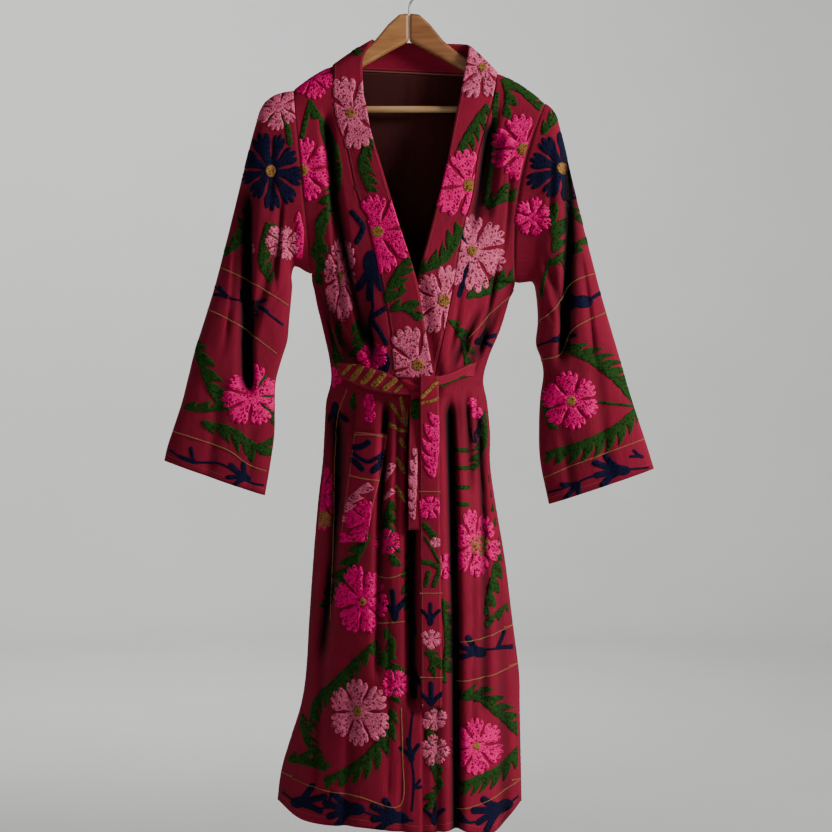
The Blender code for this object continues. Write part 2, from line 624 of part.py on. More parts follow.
def sleeve_rows(side, rings):
    """Work out a sleeve's rings, the first on the armhole seam."""
    steps = 2 * ARMHOLE_STEPS
    rows = []
    first = []
    for step in range(steps):
        face = "front" if step <= ARMHOLE_STEPS else "back"
        x, depth, z = armhole(side, step if step <= ARMHOLE_STEPS else steps - step, face)
        if step in (0, ARMHOLE_STEPS):
            depth = 0.0
        out = SEAM_GAP + (TIP_OUT if step in (0, ARMHOLE_STEPS) else 0.0)
        first.append(Vector((x + side.sign * out, -depth if face == "front" else depth, z)))
    rows.append(first)
    for number, ring in enumerate(rings):
        line = []
        for step in range(steps):
            angle = 2 * math.pi * step / steps
            part = (1 - math.cos(angle)) / 2
            x = mix(ring.outer_x, ring.inner_x, part)
            z = mix(ring.outer_z, ring.inner_z, part)
            wave = math.sin(angle)
            reach = ring.front if wave >= 0 else ring.back
            depth = reach * abs(wave) ** ARMHOLE_ROUND
            if wave > 0:
                fade = smooth(number / FADE_STEPS) * smooth(wave / SLEEVE_FADE)
                depth -= fade * fold_depth(SLEEVE_FOLDS, x, z)
            line.append(Vector((x, -depth if wave >= 0 else depth, z)))
        rows.append(line)
    return rows


def make_sleeve(name, side, rings):
    """Make one sleeve as an open tube."""
    sheet(name, sleeve_rows(side, rings), CLOTH, "cloth", closed=True)


def band_levels(side):
    """Heights of a band's level rows: those of the front's own rows."""
    levels = []
    for row in range(2, ARMHOLE_STEPS + 1):
        part = (1 - math.cos(math.pi * row / ARMHOLE_STEPS)) / 2
        levels.append(mix(side.neck_z, side.under_z, part))
    levels += [z for z in FRONT_LEVELS if z > WAIST_Z]
    return levels + [WAIST_Z + BAND_END_CLEAR]


def band_front_row(side, z):
    """One level row of a band on the front."""
    seam, free = (SEAM_RIGHT, FREE_RIGHT) if side.sign < 0 else (SEAM_LEFT, FREE_LEFT)
    sewn_x = along(seam, "z", "x", z) - side.sign * SEAM_GAP
    free_x = along(free, "z", "x", z)
    part = (side.neck_z - z) / (side.neck_z - side.under_z)
    top = along(NECK_DEPTH, "part", "depth", min(part, 1.0))
    low = body_depth(sewn_x, z, "front")
    sewn = mix(top, low, smooth(part * 2 - 1))
    free_low = body_depth(free_x, z, "front")
    free_depth = mix(top + BAND_NECK_RISE, free_low, smooth(part * 2 - 1)) + BAND_PROUD * smooth(part * 3)
    line = []
    for i in range(BAND_COLUMNS + 1):
        c = i / BAND_COLUMNS
        x = mix(sewn_x, free_x, c)
        depth = mix(sewn, free_depth, c) + BAND_CROWN * math.sin(math.pi * c)
        if side.sign > 0:
            depth -= under_drop(x, z)
        line.append(Vector((x, -depth, z)))
    return line


def turn_row(turn, puff):
    """One row of a band where it turns round the neck."""
    sewn = Vector((turn.sewn_x, turn.sewn_y, turn.sewn_z))
    free = Vector((turn.free_x, turn.free_y, turn.free_z))
    line = []
    for i in range(BAND_COLUMNS + 1):
        c = i / BAND_COLUMNS
        point = sewn.lerp(free, c)
        point.z += puff * math.sin(math.pi * c)
        line.append(point)
    return line


def make_band(name, side, turns):
    """Make the band of one front, from the shoulder to the belt."""
    rows = [turn_row(turn, TURN_PUFF * (1 - i / (len(turns) - 1))) for i, turn in enumerate(turns)]
    rows += [band_front_row(side, z) for z in band_levels(side)]
    sheet(name, rows, BAND, "band")


def make_neck_band():
    """Make the band behind the neck."""
    sheet("band_neck", [turn_row(turn, 0.0) for turn in BACK_TURN], BAND, "band")


def add_tube(name, points, radius, finish, resolution=2):
    """Make a round wire along points."""
    data = bpy.data.curves.new(name, "CURVE")
    data.dimensions = "3D"
    data.bevel_depth = radius
    data.bevel_resolution = resolution
    data.use_fill_caps = True
    spline = data.splines.new("POLY")
    spline.points.add(len(points) - 1)
    for place, point in zip(spline.points, points):
        place.co = (point[0], point[1], point[2], 1.0)
    made = bpy.data.objects.new(name, data)
    data.materials.append(material(finish))
    bpy.data.collections["long_coat"].objects.link(made)
    return made


def make_piping():
    """Make the thin piping between the neck band and the lining."""
    points = []
    for i in range(PIPING_STEPS + 1):
        point = back_point(0, mix(*LINING_TOP, i / PIPING_STEPS))
        inward = CLOTH / 2 + PIPING_RADIUS + PIPING_CLEAR
        points.append((point.x, point.y - inward, point.z - PIPING_DROP))
    add_tube("neck_piping", points, PIPING_RADIUS, "piping")


def make_pocket():
    """Make the patch pocket on the right front."""
    rows = []
    for j in range(POCKET_ROWS + 1):
        v = j / POCKET_ROWS
        first_x = mix(POCKET_TOP[0], POCKET_END[0], v)
        first_z = mix(POCKET_TOP[1], POCKET_END[1], v)
        last_x = mix(POCKET_TOP[2], POCKET_END[2], mix(v, smooth(v), POCKET_BOW))
        last_z = mix(POCKET_TOP[3], POCKET_END[3], v)
        line = []
        for i in range(POCKET_COLUMNS + 1):
            x = mix(first_x, last_x, i / POCKET_COLUMNS)
            z = mix(first_z, last_z, i / POCKET_COLUMNS)
            trough = POCKET_FOLLOW * fold_depth(FRONT_FOLDS, x, z)
            depth = body_depth(x, z, "front") - trough + POCKET_RAISE
            line.append(Vector((x, -depth, z)))
        rows.append(line)
    sheet("pocket", rows, POCKET_CLOTH, "cloth")


def belt_point(s, z, face, raise_):
    """Point of the belt round the waist, s being -1 at the right side seam and 1 at the left."""
    middle = centre_x(z)
    side = along(SIDE_SEAM, "z", "left" if s > 0 else "right", z)
    half = abs(side - middle) + BELT_GROW * s * s
    depth = BELT / 2 - BELT_SIDE_CLEAR + (along(DEPTH, "z", face, z) + raise_) * lens(s)
    return Vector((middle + s * half, -depth if face == "front" else depth, z))


def make_belt_front(name, table):
    """Make the belt on one front, from the side seam to the knot."""
    rows = []
    middle = centre_x(WAIST_Z)
    side_x = along(SIDE_SEAM, "z", "left" if table[0].x > 0 else "right", WAIST_Z)
    for i in range(BELT_STEPS + 1):
        x = mix(table[0].x, table[-1].x, i / BELT_STEPS)
        half = along(table, "x", "half", x)
        level = along(table, "x", "z", x)
        raise_ = along(table, "x", "raise_", x)
        s = (x - middle) / abs(side_x - middle)
        line = [belt_point(s, level + half * (1 - 2 * j / BELT_ACROSS), "front", raise_)
                for j in range(BELT_ACROSS + 1)]
        rows.append(line)
    sheet(name, rows, BELT, "belt")


def make_belt_back():
    """Make the belt across the back, from side seam to side seam."""
    rows = []
    count = 2 * BELT_STEPS
    for i in range(count + 1):
        s = -math.cos(math.pi * i / count)
        rows.append([belt_point(s, BACK_BELT_Z + BACK_BELT_HALF * (1 - 2 * j / BELT_ACROSS), "back",
                                BACK_BELT_RAISE) for j in range(BELT_ACROSS + 1)])
    sheet("belt_back", rows, BELT, "belt")


def make_tail(name, table, count):
    """Make one hanging end of the belt."""
    rows = []
    for i in range(count + 1):
        z = mix(table[0].z, table[-1].z, i / count)
        x = along(table, "z", "x", z)
        half = along(table, "z", "half", z)
        depth = body_depth(x, z, "front") + along(table, "z", "raise_", z)
        columns = [2 * j / BELT_ACROSS - 1 for j in range(BELT_ACROSS + 1)]
        rows.append([Vector((x + half * column, -depth, z)) for column in columns])
    sheet(name, rows, TAIL_CLOTH, "belt")


def make_knot():
    """Make the flat knot: a soft block, pinched across its middle."""
    centre = Vector((KNOT_CENTRE[0], 0, KNOT_CENTRE[1]))
    base = body_depth(centre.x, centre.z, "front") + KNOT_RAISE
    centre.y = -base - KNOT_SIZE[1] / 2
    shape = bmesh.new()
    bmesh.ops.create_cube(shape, size=1.0)
    bmesh.ops.subdivide_edges(shape, edges=shape.edges, cuts=KNOT_CUTS, use_grid_fill=True)
    for vert in shape.verts:
        corner = vert.co * 2
        pinch = 1 - KNOT_PINCH * math.exp(-((corner.x - KNOT_PINCH_AT) / KNOT_PINCH_WIDTH) ** 2)
        round_off = 1 - KNOT_ROUND * corner.x * corner.x * corner.z * corner.z
        crown = 1 - KNOT_CROWN * max(abs(corner.x), abs(corner.z)) ** 4
        vert.co.x = corner.x * KNOT_SIZE[0] / 2 * round_off
        vert.co.z = corner.z * KNOT_SIZE[2] / 2 * pinch * round_off
        vert.co.y = corner.y * KNOT_SIZE[1] / 2 * crown
        vert.co += centre
    mesh = bpy.data.meshes.new("belt_knot")
    shape.to_mesh(mesh)
    shape.free()
    add_object("belt_knot", mesh, "belt")


def make_arm(name, sign):
    """Make one wooden half of the hanger: its outline in the hanger's plane, made thick."""
    tops = [(row.x, row.top) for row in ARM]
    ends = [(row.x, row.bottom) for row in reversed(ARM)]
    tip = [(ARM[-1].x + ARM_TIP, (ARM[-1].top + ARM[-1].bottom) / 2)]
    outline = tops + tip + ends
    data = bpy.data.curves.new(name, "CURVE")
    data.dimensions = "2D"
    data.fill_mode = "BOTH"
    data.extrude = ARM_THICK / 2
    spline = data.splines.new("POLY")
    spline.points.add(len(outline) - 1)
    for place, (x, z) in zip(spline.points, outline):
        place.co = (sign * x, z, 0.0, 1.0)
    spline.use_cyclic_u = True
    made = bpy.data.objects.new(name, data)
    made.rotation_euler = (math.pi / 2, 0, 0)
    data.materials.append(material("wood"))
    bpy.data.collections["long_coat"].objects.link(made)
    weld = made.modifiers.new("weld", "WELD")
    weld.merge_threshold = ARM_WELD
    bevel = made.modifiers.new("bevel", "BEVEL")
    bevel.width = ARM_BEVEL
    bevel.segments = 2
    bevel.limit_method = "ANGLE"
    bevel.angle_limit = ARM_BEVEL_ANGLE


def make_bar():
    """Make the round trouser bar between the arms."""
    points = [(mix(-BAR_REACH, BAR_REACH, i / 4), 0.0, BAR_Z) for i in range(5)]
    add_tube("hanger_bar", points, BAR_RADIUS, "wood", resolution=4)


def make_hook():
    """Make the wire hook: a shank, a side bend and an arc over the bearing point."""
    centre_z = WIRE - HOOK_RADIUS
    points = [(0.0, 0.0, HOOK_SHANK_END), (0.0, 0.0, HOOK_BEND_Z)]
    for i in range(1, HOOK_BEND_STEPS + 1):
        part = i / HOOK_BEND_STEPS
        points.append((HOOK_RADIUS * smooth(part), 0.0, mix(HOOK_BEND_Z, centre_z, part)))
    for i in range(1, HOOK_ARC_STEPS + 1):
        angle = HOOK_ARC * i / HOOK_ARC_STEPS
        points.append((HOOK_RADIUS * math.cos(angle), 0.0, centre_z + HOOK_RADIUS * math.sin(angle)))
    add_tube("hanger_hook", points, WIRE, "steel", resolution=2)


def main():
    """Build the coat and its hanger."""
    clear_scene()
    group = bpy.data.collections.new("long_coat")
    bpy.context.scene.collection.children.link(group)
    make_back()
    make_lining()
    make_front("front_right", RIGHT)
    make_front("front_left", LEFT)
    make_sleeve("sleeve_right", RIGHT, SLEEVE_RIGHT)
    make_sleeve("sleeve_left", LEFT, SLEEVE_LEFT)
    make_band("band_right", RIGHT, TURN_RIGHT)
    make_band("band_left", LEFT, TURN_LEFT)
    make_neck_band()
    make_piping()
    make_pocket()
    make_belt_front("belt_right", BELT_RIGHT)
    make_belt_front("belt_left", BELT_LEFT)
    make_belt_back()
    make_knot()
    make_tail("belt_tail", TAIL, TAIL_STEPS)
    make_tail("belt_tail_under", TAIL_UNDER, TAIL_UNDER_STEPS)
    make_arm("hanger_arm_right", -1)
    make_arm("hanger_arm_left", 1)
    make_bar()
    make_hook()


main()
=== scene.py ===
"""Looks of a long embroidered coat with a tie belt, hanging closed on a wooden hanger.

Metres, +Z up, the front faces -Y. The origin is the point where the hanger's hook bears.
"Right" and "left" are the wearer's: the right side is at -X. The cloth shells follow the same
tables as the solids they stand for, on a finer grid and with the smaller creases.
"""
import bisect
import logging
import math
import random
from dataclasses import dataclass, field
from enum import Enum
from typing import NamedTuple, Sequence

import bmesh
import bpy
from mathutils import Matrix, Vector, noise
from mathutils.bvhtree import BVHTree
from mathutils.geometry import delaunay_2d_cdt


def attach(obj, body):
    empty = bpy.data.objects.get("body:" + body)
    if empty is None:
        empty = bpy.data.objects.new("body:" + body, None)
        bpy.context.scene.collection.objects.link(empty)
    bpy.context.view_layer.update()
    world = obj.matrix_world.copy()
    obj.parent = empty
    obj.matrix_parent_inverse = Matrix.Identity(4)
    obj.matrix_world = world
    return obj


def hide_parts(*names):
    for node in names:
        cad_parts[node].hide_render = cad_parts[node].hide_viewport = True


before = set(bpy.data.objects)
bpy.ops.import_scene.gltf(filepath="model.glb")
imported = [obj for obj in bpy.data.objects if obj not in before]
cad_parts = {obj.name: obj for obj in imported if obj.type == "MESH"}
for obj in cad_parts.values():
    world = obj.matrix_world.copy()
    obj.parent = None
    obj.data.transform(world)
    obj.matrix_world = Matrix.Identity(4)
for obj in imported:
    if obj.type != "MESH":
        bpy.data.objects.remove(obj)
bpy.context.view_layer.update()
LOG = logging.getLogger("coat")

MM = 0.001
Grid = list[list[Vector]]
Flat = tuple[float, float]

# Walls, as on the solids.
CLOTH = 0.0020
LINING = 0.0012
BAND = 0.0026
BELT = 0.0030
SEAM_GAP = 0.0007
SEAM_HALF = CLOTH / 2 + 0.0003
# Heights that several pieces share, how flat the body's section is, and the shells' grid.
WAIST_Z = -0.655
FRONT_JOG_Z = -0.6660
HEM_Z = -1.3650
UNDERARM_BLEND = 0.03
LENS_POWER = 2.6
COLUMN_STEP = 0.0043
ROW_STEP = 0.0060
CORD_SIDES = 10


class Side(NamedTuple):
    """Where one side's seams run: the neck end, the sleeve end and the underarm."""

    sign: int
    neck_x: float
    neck_z: float
    tip_x: float
    tip_z: float
    under_x: float
    under_z: float
    bow: float
    crown: float


RIGHT = Side(-1, -0.123, -0.1484, -0.186, -0.1885, -0.157, -0.4820, 0.0, 0.0035)
LEFT = Side(1, 0.141, -0.1600, 0.219, -0.2095, 0.171, -0.4960, -0.020, 0.0055)
# The armholes: how many steps they are counted in, how deep they are and how round.
ARMHOLE_STEPS = 8
ARMHOLE_FRONT = 0.029
ARMHOLE_BACK = 0.026
ARMHOLE_ROUND = 0.8
NECK_TURN = 0.014


class SideRow(NamedTuple):
    """Side seams at one height."""

    z: float
    right: float
    left: float


class DepthRow(NamedTuple):
    """How far the cloth stands in front of and behind the hanger's plane."""

    z: float
    front: float
    back: float


class EdgeRow(NamedTuple):
    """A point of an edge that runs down the coat."""

    z: float
    x: float


class Fold(NamedTuple):
    """A trough: its ends, how it bows, its half width, its depth and the side of its lip."""

    top_x: float
    top_z: float
    end_x: float
    end_z: float
    bend: float
    half: float
    deep_top: float
    deep_end: float
    lip: int = 0


class Ring(NamedTuple):
    """A sleeve's section: outer and inner edge, and the depths in front and behind."""

    outer_x: float
    outer_z: float
    inner_x: float
    inner_z: float
    front: float
    back: float


class Turn(NamedTuple):
    """A section of the band round the neck: its sewn edge and its free edge."""

    sewn_x: float
    sewn_y: float
    sewn_z: float
    free_x: float
    free_y: float
    free_z: float


class BeltRow(NamedTuple):
    """A section of the belt: its middle, half width and how far it stands out."""

    x: float
    z: float
    half: float
    raised: float


class Curve:
    """A smooth curve through one column of a table, read by another column."""

    def __init__(self, rows: Sequence[NamedTuple], key: str | None, column: str) -> None:
        """Keep the two columns in order.

        Args:
            rows: the table.
            key: the column that the curve is read by, or None for the rows' own numbers.
            column: the column that it gives.
        """
        pairs = sorted((getattr(row, key) if key else float(i), getattr(row, column))
                       for i, row in enumerate(rows))
        self.keys = [pair[0] for pair in pairs]
        self.cells = [pair[1] for pair in pairs]
        self.last = len(pairs) - 1

    def slope(self, i: int) -> float:
        """Slope of the curve at a row."""
        low, high = max(i - 1, 0), min(i + 1, self.last)
        return (self.cells[high] - self.cells[low]) / (self.keys[high] - self.keys[low])

    def __call__(self, value: float) -> float:
        """Read the curve.

        Args:
            value: the key, held inside the table's range.

        Returns:
            The column's value there.
        """
        if value <= self.keys[0]:
            return self.cells[0]
        if value >= self.keys[-1]:
            return self.cells[-1]
        low = bisect.bisect_right(self.keys, value) - 1
        width = self.keys[low + 1] - self.keys[low]
        part = (value - self.keys[low]) / width
        first, last = self.cells[low], self.cells[low + 1]
        start = part * (1 - part) ** 2 * width * self.slope(low)
        finish = -part * part * (1 - part) * width * self.slope(low + 1)
        return first + (last - first) * part * part * (3 - 2 * part) + start + finish


# The body's outlines, from the top down.
SIDE_SEAM = (
    SideRow(-0.480, -0.157, 0.173), SideRow(-0.528, -0.149, 0.160), SideRow(-0.574, -0.138, 0.146),
    SideRow(-0.620, -0.128, 0.127), SideRow(-0.655, -0.125, 0.119), SideRow(-0.690, -0.133, 0.125),
    SideRow(-0.740, -0.136, 0.130), SideRow(-0.790, -0.139, 0.130), SideRow(-0.850, -0.146, 0.138),
    SideRow(-0.945, -0.154, 0.154), SideRow(-1.050, -0.161, 0.167), SideRow(-1.130, -0.166, 0.177),
    SideRow(-1.180, -0.174, 0.178), SideRow(-1.240, -0.192, 0.179), SideRow(-1.300, -0.205, 0.180),
    SideRow(-1.380, -0.213, 0.181),
)
DEPTH = (
    DepthRow(-0.140, 0.0120, 0.0185), DepthRow(-0.200, 0.0200, 0.0215),
    DepthRow(-0.300, 0.0360, 0.0250), DepthRow(-0.400, 0.0460, 0.0270),
    DepthRow(-0.500, 0.0530, 0.0280), DepthRow(-0.600, 0.0560, 0.0250),
    DepthRow(-0.655, 0.0530, 0.0220), DepthRow(-0.700, 0.0590, 0.0260),
    DepthRow(-0.800, 0.0670, 0.0300), DepthRow(-1.000, 0.0790, 0.0340),
    DepthRow(-1.200, 0.0880, 0.0370), DepthRow(-1.390, 0.0930, 0.0390),
)
SEAM_RIGHT = (
    EdgeRow(-0.148, -0.123), EdgeRow(-0.188, -0.123), EdgeRow(-0.236, -0.117),
    EdgeRow(-0.276, -0.103), EdgeRow(-0.363, -0.083), EdgeRow(-0.403, -0.066),
    EdgeRow(-0.496, -0.045), EdgeRow(-0.580, -0.030), EdgeRow(-0.655, -0.022),
)
SEAM_LEFT = (
    EdgeRow(-0.160, 0.141), EdgeRow(-0.192, 0.138), EdgeRow(-0.240, 0.125),
    EdgeRow(-0.297, 0.110), EdgeRow(-0.360, 0.101), EdgeRow(-0.408, 0.088),
    EdgeRow(-0.467, 0.077), EdgeRow(-0.550, 0.062), EdgeRow(-0.655, 0.040),
)
FREE_RIGHT = (
    EdgeRow(-0.168, -0.080), EdgeRow(-0.214, -0.069), EdgeRow(-0.256, -0.061),
    EdgeRow(-0.320, -0.042), EdgeRow(-0.400, -0.018), EdgeRow(-0.499, 0.013),
    EdgeRow(-0.564, 0.024), EdgeRow(-0.655, 0.040),
)
FREE_LEFT = (
    EdgeRow(-0.155, 0.090), EdgeRow(-0.198, 0.082), EdgeRow(-0.256, 0.070),
    EdgeRow(-0.320, 0.058), EdgeRow(-0.400, 0.038), EdgeRow(-0.499, 0.013),
    EdgeRow(-0.580, 0.000), EdgeRow(-0.655, -0.010),
)
OPEN_EDGE_RIGHT = (
    EdgeRow(-0.655, -0.022), EdgeRow(-0.661, 0.010), EdgeRow(-0.667, 0.034),
    EdgeRow(-0.676, 0.035), EdgeRow(-0.700, 0.027), EdgeRow(-0.800, 0.021),
    EdgeRow(-1.000, 0.021), EdgeRow(-1.390, 0.021),
)
OPEN_EDGE_LEFT = (
    EdgeRow(-0.655, 0.040), EdgeRow(-0.661, 0.010), EdgeRow(-0.667, -0.012),
    EdgeRow(-0.676, -0.013), EdgeRow(-0.700, -0.011), EdgeRow(-0.800, -0.007),
    EdgeRow(-1.000, -0.006), EdgeRow(-1.390, -0.006),
)
HEM = (
    EdgeRow(-1.3320, -0.213), EdgeRow(-1.3530, -0.179), EdgeRow(-1.3580, -0.150),
    EdgeRow(-1.3580, -0.082), EdgeRow(-1.3640, -0.014), EdgeRow(-1.3680, 0.021),
    EdgeRow(-1.3650, 0.078), EdgeRow(-1.3750, 0.110), EdgeRow(-1.3720, 0.142),
    EdgeRow(-1.3340, 0.181),
)
# How far up the skirt the rows bend to follow the hem.
HEM_REACH = 0.16

# The broad folds that the solids share, then the smaller creases that only the shells have.
FRONT_FOLDS = (
    Fold(-0.134, -0.215, -0.060, -0.620, -0.012, 0.017, 0.011, 0.009),
    Fold(-0.140, -0.500, -0.088, -0.640, 0.000, 0.015, 0.005, 0.010),
    Fold(-0.078, -0.480, -0.056, -0.650, 0.004, 0.013, 0.003, 0.010),
    Fold(-0.104, -0.560, -0.074, -0.660, 0.000, 0.011, 0.003, 0.008),
    Fold(0.128, -0.220, 0.096, -0.430, 0.004, 0.016, 0.013, 0.007),
    Fold(0.150, -0.240, 0.122, -0.420, 0.000, 0.014, 0.006, 0.004),
    Fold(0.120, -0.520, 0.062, -0.650, 0.000, 0.015, 0.004, 0.010),
    Fold(0.150, -0.510, 0.090, -0.645, 0.006, 0.014, 0.004, 0.009),
    Fold(0.096, -0.600, 0.108, -0.660, 0.000, 0.010, 0.004, 0.007),
    Fold(-0.117, -0.690, -0.146, -1.120, 0.012, 0.018, 0.014, 0.006),
    Fold(-0.034, -0.672, -0.049, -1.140, -0.004, 0.014, 0.013, 0.005),
    Fold(0.006, -0.680, 0.006, -1.190, -0.002, 0.018, 0.017, 0.010),
    Fold(0.064, -0.675, 0.074, -1.480, 0.004, 0.017, 0.015, 0.013),
    Fold(0.092, -0.665, 0.100, -0.860, 0.000, 0.012, 0.011, 0.003),
    Fold(0.112, -0.690, 0.116, -1.200, 0.006, 0.015, 0.006, 0.007),
    Fold(-0.085, -0.668, -0.092, -0.780, 0.000, 0.012, 0.008, 0.002),
)
FRONT_CREASES = (
    Fold(0.141, -0.200, 0.110, -0.420, 0.004, 0.012, 0.0080, 0.0070),
    Fold(0.146, -0.430, 0.086, -0.640, 0.010, 0.012, 0.0030, 0.0080, -1),
    Fold(-0.152, -0.470, -0.100, -0.640, -0.006, 0.011, 0.0040, 0.0090, 1),
    Fold(-0.125, -0.672, -0.140, -0.900, -0.002, 0.010, 0.0090, 0.0050, -1),
    Fold(-0.128, -0.330, -0.096, -0.590, -0.006, 0.012, 0.0051, 0.0068, -1),
    Fold(-0.150, -0.440, -0.118, -0.645, 0.004, 0.010, 0.0034, 0.0085, 1),
    Fold(-0.112, -0.590, -0.090, -0.655, 0.000, 0.008, 0.0034, 0.0085),
    Fold(-0.094, -0.575, -0.050, -0.648, 0.003, 0.009, 0.0017, 0.0068),
    Fold(-0.066, -0.560, -0.038, -0.655, 0.002, 0.008, 0.0034, 0.0068),
    Fold(0.138, -0.440, 0.108, -0.625, 0.006, 0.010, 0.0034, 0.0085, -1),
    Fold(0.100, -0.560, 0.078, -0.655, 0.003, 0.009, 0.0034, 0.0085),
    Fold(0.126, -0.585, 0.098, -0.650, 0.002, 0.008, 0.0034, 0.0085),
    Fold(0.084, -0.470, 0.060, -0.640, 0.004, 0.010, 0.0017, 0.0068),
    Fold(0.160, -0.300, 0.146, -0.470, 0.004, 0.011, 0.0051, 0.0034, -1),
    Fold(-0.100, -0.670, -0.108, -0.900, 0.002, 0.010, 0.0085, 0.0034),
    Fold(-0.066, -0.668, -0.070, -0.745, 0.000, 0.009, 0.0085, 0.0017),
    Fold(-0.016, -0.680, -0.020, -0.930, 0.000, 0.010, 0.0085, 0.0051),
    Fold(-0.036, -0.850, -0.030, -1.330, 0.004, 0.014, 0.0034, 0.0051, 1),
    Fold(-0.128, -0.930, -0.150, -1.330, -0.004, 0.018, 0.0051, 0.0068, -1),
    Fold(-0.090, -1.060, -0.104, -1.400, 0.006, 0.020, 0.0034, 0.0085),
    Fold(0.078, -0.668, 0.086, -0.800, 0.000, 0.009, 0.0085, 0.0034),
    Fold(0.106, -0.668, 0.122, -0.960, 0.004, 0.010, 0.0068, 0.0034, 1),
    Fold(0.096, -0.840, 0.098, -1.240, 0.004, 0.012, 0.0034, 0.0068, -1),
    Fold(0.140, -0.900, 0.152, -1.420, 0.004, 0.020, 0.0034, 0.0102),
    Fold(0.040, -1.050, 0.044, -1.460, 0.002, 0.014, 0.0034, 0.0102),
    Fold(-0.012, -1.130, -0.010, -1.460, 0.000, 0.014, 0.0017, 0.0068),
)
BACK_FOLDS = (
    Fold(-0.096, -0.540, -0.060, -0.640, 0.000, 0.024, 0.003, 0.009),
    Fold(0.104, -0.530, 0.062, -0.640, 0.000, 0.024, 0.003, 0.009),
    Fold(-0.010, -0.560, 0.004, -0.640, 0.000, 0.022, 0.002, 0.007),
    Fold(-0.130, -0.300, -0.104, -0.520, 0.008, 0.024, 0.004, 0.006),
    Fold(0.138, -0.320, 0.118, -0.500, -0.006, 0.024, 0.006, 0.004),
    Fold(-0.092, -0.680, -0.118, -1.480, 0.008, 0.024, 0.011, 0.012),
    Fold(-0.034, -0.670, -0.044, -1.300, -0.006, 0.022, 0.012, 0.006),
    Fold(0.020, -0.680, 0.026, -1.480, 0.004, 0.024, 0.012, 0.013),
    Fold(0.074, -0.672, 0.096, -1.480, -0.004, 0.023, 0.012, 0.011),
    Fold(-0.082, -1.020, -0.078, -1.480, 0.000, 0.022, 0.002, 0.009),
)
BACK_CREASES = (
    Fold(-0.060, -0.520, -0.036, -0.640, 0.000, 0.011, 0.001, 0.005),
    Fold(0.050, -0.530, 0.034, -0.640, 0.000, 0.011, 0.001, 0.005),
    Fold(-0.116, -0.470, -0.090, -0.645, 0.004, 0.012, 0.002, 0.005, 1),
    Fold(0.124, -0.460, 0.092, -0.645, 0.004, 0.012, 0.002, 0.005, -1),
    Fold(-0.070, -0.240, -0.092, -0.420, 0.004, 0.014, 0.001, 0.003),
    Fold(0.078, -0.250, 0.100, -0.430, 0.004, 0.014, 0.001, 0.003),
    Fold(-0.062, -0.668, -0.072, -0.840, 0.000, 0.010, 0.005, 0.002),
    Fold(0.046, -0.668, 0.052, -0.900, 0.000, 0.010, 0.005, 0.002),
    Fold(0.100, -0.668, 0.114, -0.860, 0.000, 0.010, 0.005, 0.001),
    Fold(-0.010, -0.668, -0.008, -0.800, 0.000, 0.009, 0.004, 0.001),
    Fold(0.128, -0.760, 0.148, -1.400, 0.004, 0.018, 0.002, 0.005, 1),
    Fold(-0.134, -0.760, -0.158, -1.400, 0.004, 0.018, 0.002, 0.005, -1),
    Fold(-0.010, -1.000, -0.012, -1.460, 0.003, 0.016, 0.001, 0.005),
)
SLEEVE_FOLDS = (
    Fold(-0.250, -0.340, -0.258, -0.690, -0.006, 0.017, 0.007, 0.011),
    Fold(-0.205, -0.420, -0.262, -0.610, 0.000, 0.016, 0.003, 0.009),
    Fold(-0.300, -0.640, -0.330, -0.840, 0.004, 0.020, 0.004, 0.003),
    Fold(0.250, -0.280, 0.242, -0.640, 0.008, 0.017, 0.007, 0.011),
    Fold(0.212, -0.440, 0.262, -0.600, 0.000, 0.016, 0.003, 0.009),
    Fold(0.296, -0.600, 0.322, -0.830, 0.000, 0.020, 0.003, 0.004),
)
SLEEVE_CREASES = (
    Fold(-0.258, -0.330, -0.252, -0.690, 0.000, 0.032, 0.0100, 0.0120, 1),
    Fold(0.257, -0.262, 0.243, -0.630, 0.004, 0.030, 0.0090, 0.0100, -1),
    Fold(-0.200, -0.350, -0.214, -0.520, 0.000, 0.014, 0.0080, 0.0060, 1),
    Fold(-0.194, -0.500, -0.236, -0.560, 0.000, 0.009, 0.0064, 0.0032),
    Fold(-0.196, -0.560, -0.240, -0.600, 0.002, 0.009, 0.0064, 0.0032),
    Fold(-0.206, -0.600, -0.250, -0.650, 0.002, 0.010, 0.0064, 0.0032),
    Fold(-0.280, -0.420, -0.300, -0.620, 0.004, 0.014, 0.0032, 0.0048, -1),
    Fold(-0.218, -0.250, -0.226, -0.400, 0.004, 0.012, 0.0032, 0.0048),
    Fold(-0.250, -0.700, -0.262, -0.850, 0.002, 0.016, 0.0032, 0.0048),
    Fold(0.208, -0.520, 0.246, -0.580, 0.000, 0.009, 0.0064, 0.0032),
    Fold(0.212, -0.590, 0.254, -0.626, 0.000, 0.009, 0.0064, 0.0032),
    Fold(0.218, -0.640, 0.262, -0.680, 0.002, 0.010, 0.0064, 0.0032),
    Fold(0.274, -0.440, 0.300, -0.640, 0.004, 0.014, 0.0032, 0.0048, 1),
    Fold(0.226, -0.260, 0.222, -0.420, 0.004, 0.012, 0.0032, 0.0048),
    Fold(0.244, -0.720, 0.262, -0.850, 0.002, 0.016, 0.0032, 0.0048),
)
# The stitches' seed, how little cloth and thread shine, and the painted shade down in the folds: its colour
# and the fold depths over which it comes in.
STITCH_SEED = 7
CLOTH_GLOSS = 0.22
THREAD_GLOSS = 0.12
FOLD_SHADE = (0.0022, 0.0003, 0.0006)
FOLD_SHADE_RANGE = (0.08, 0.58)
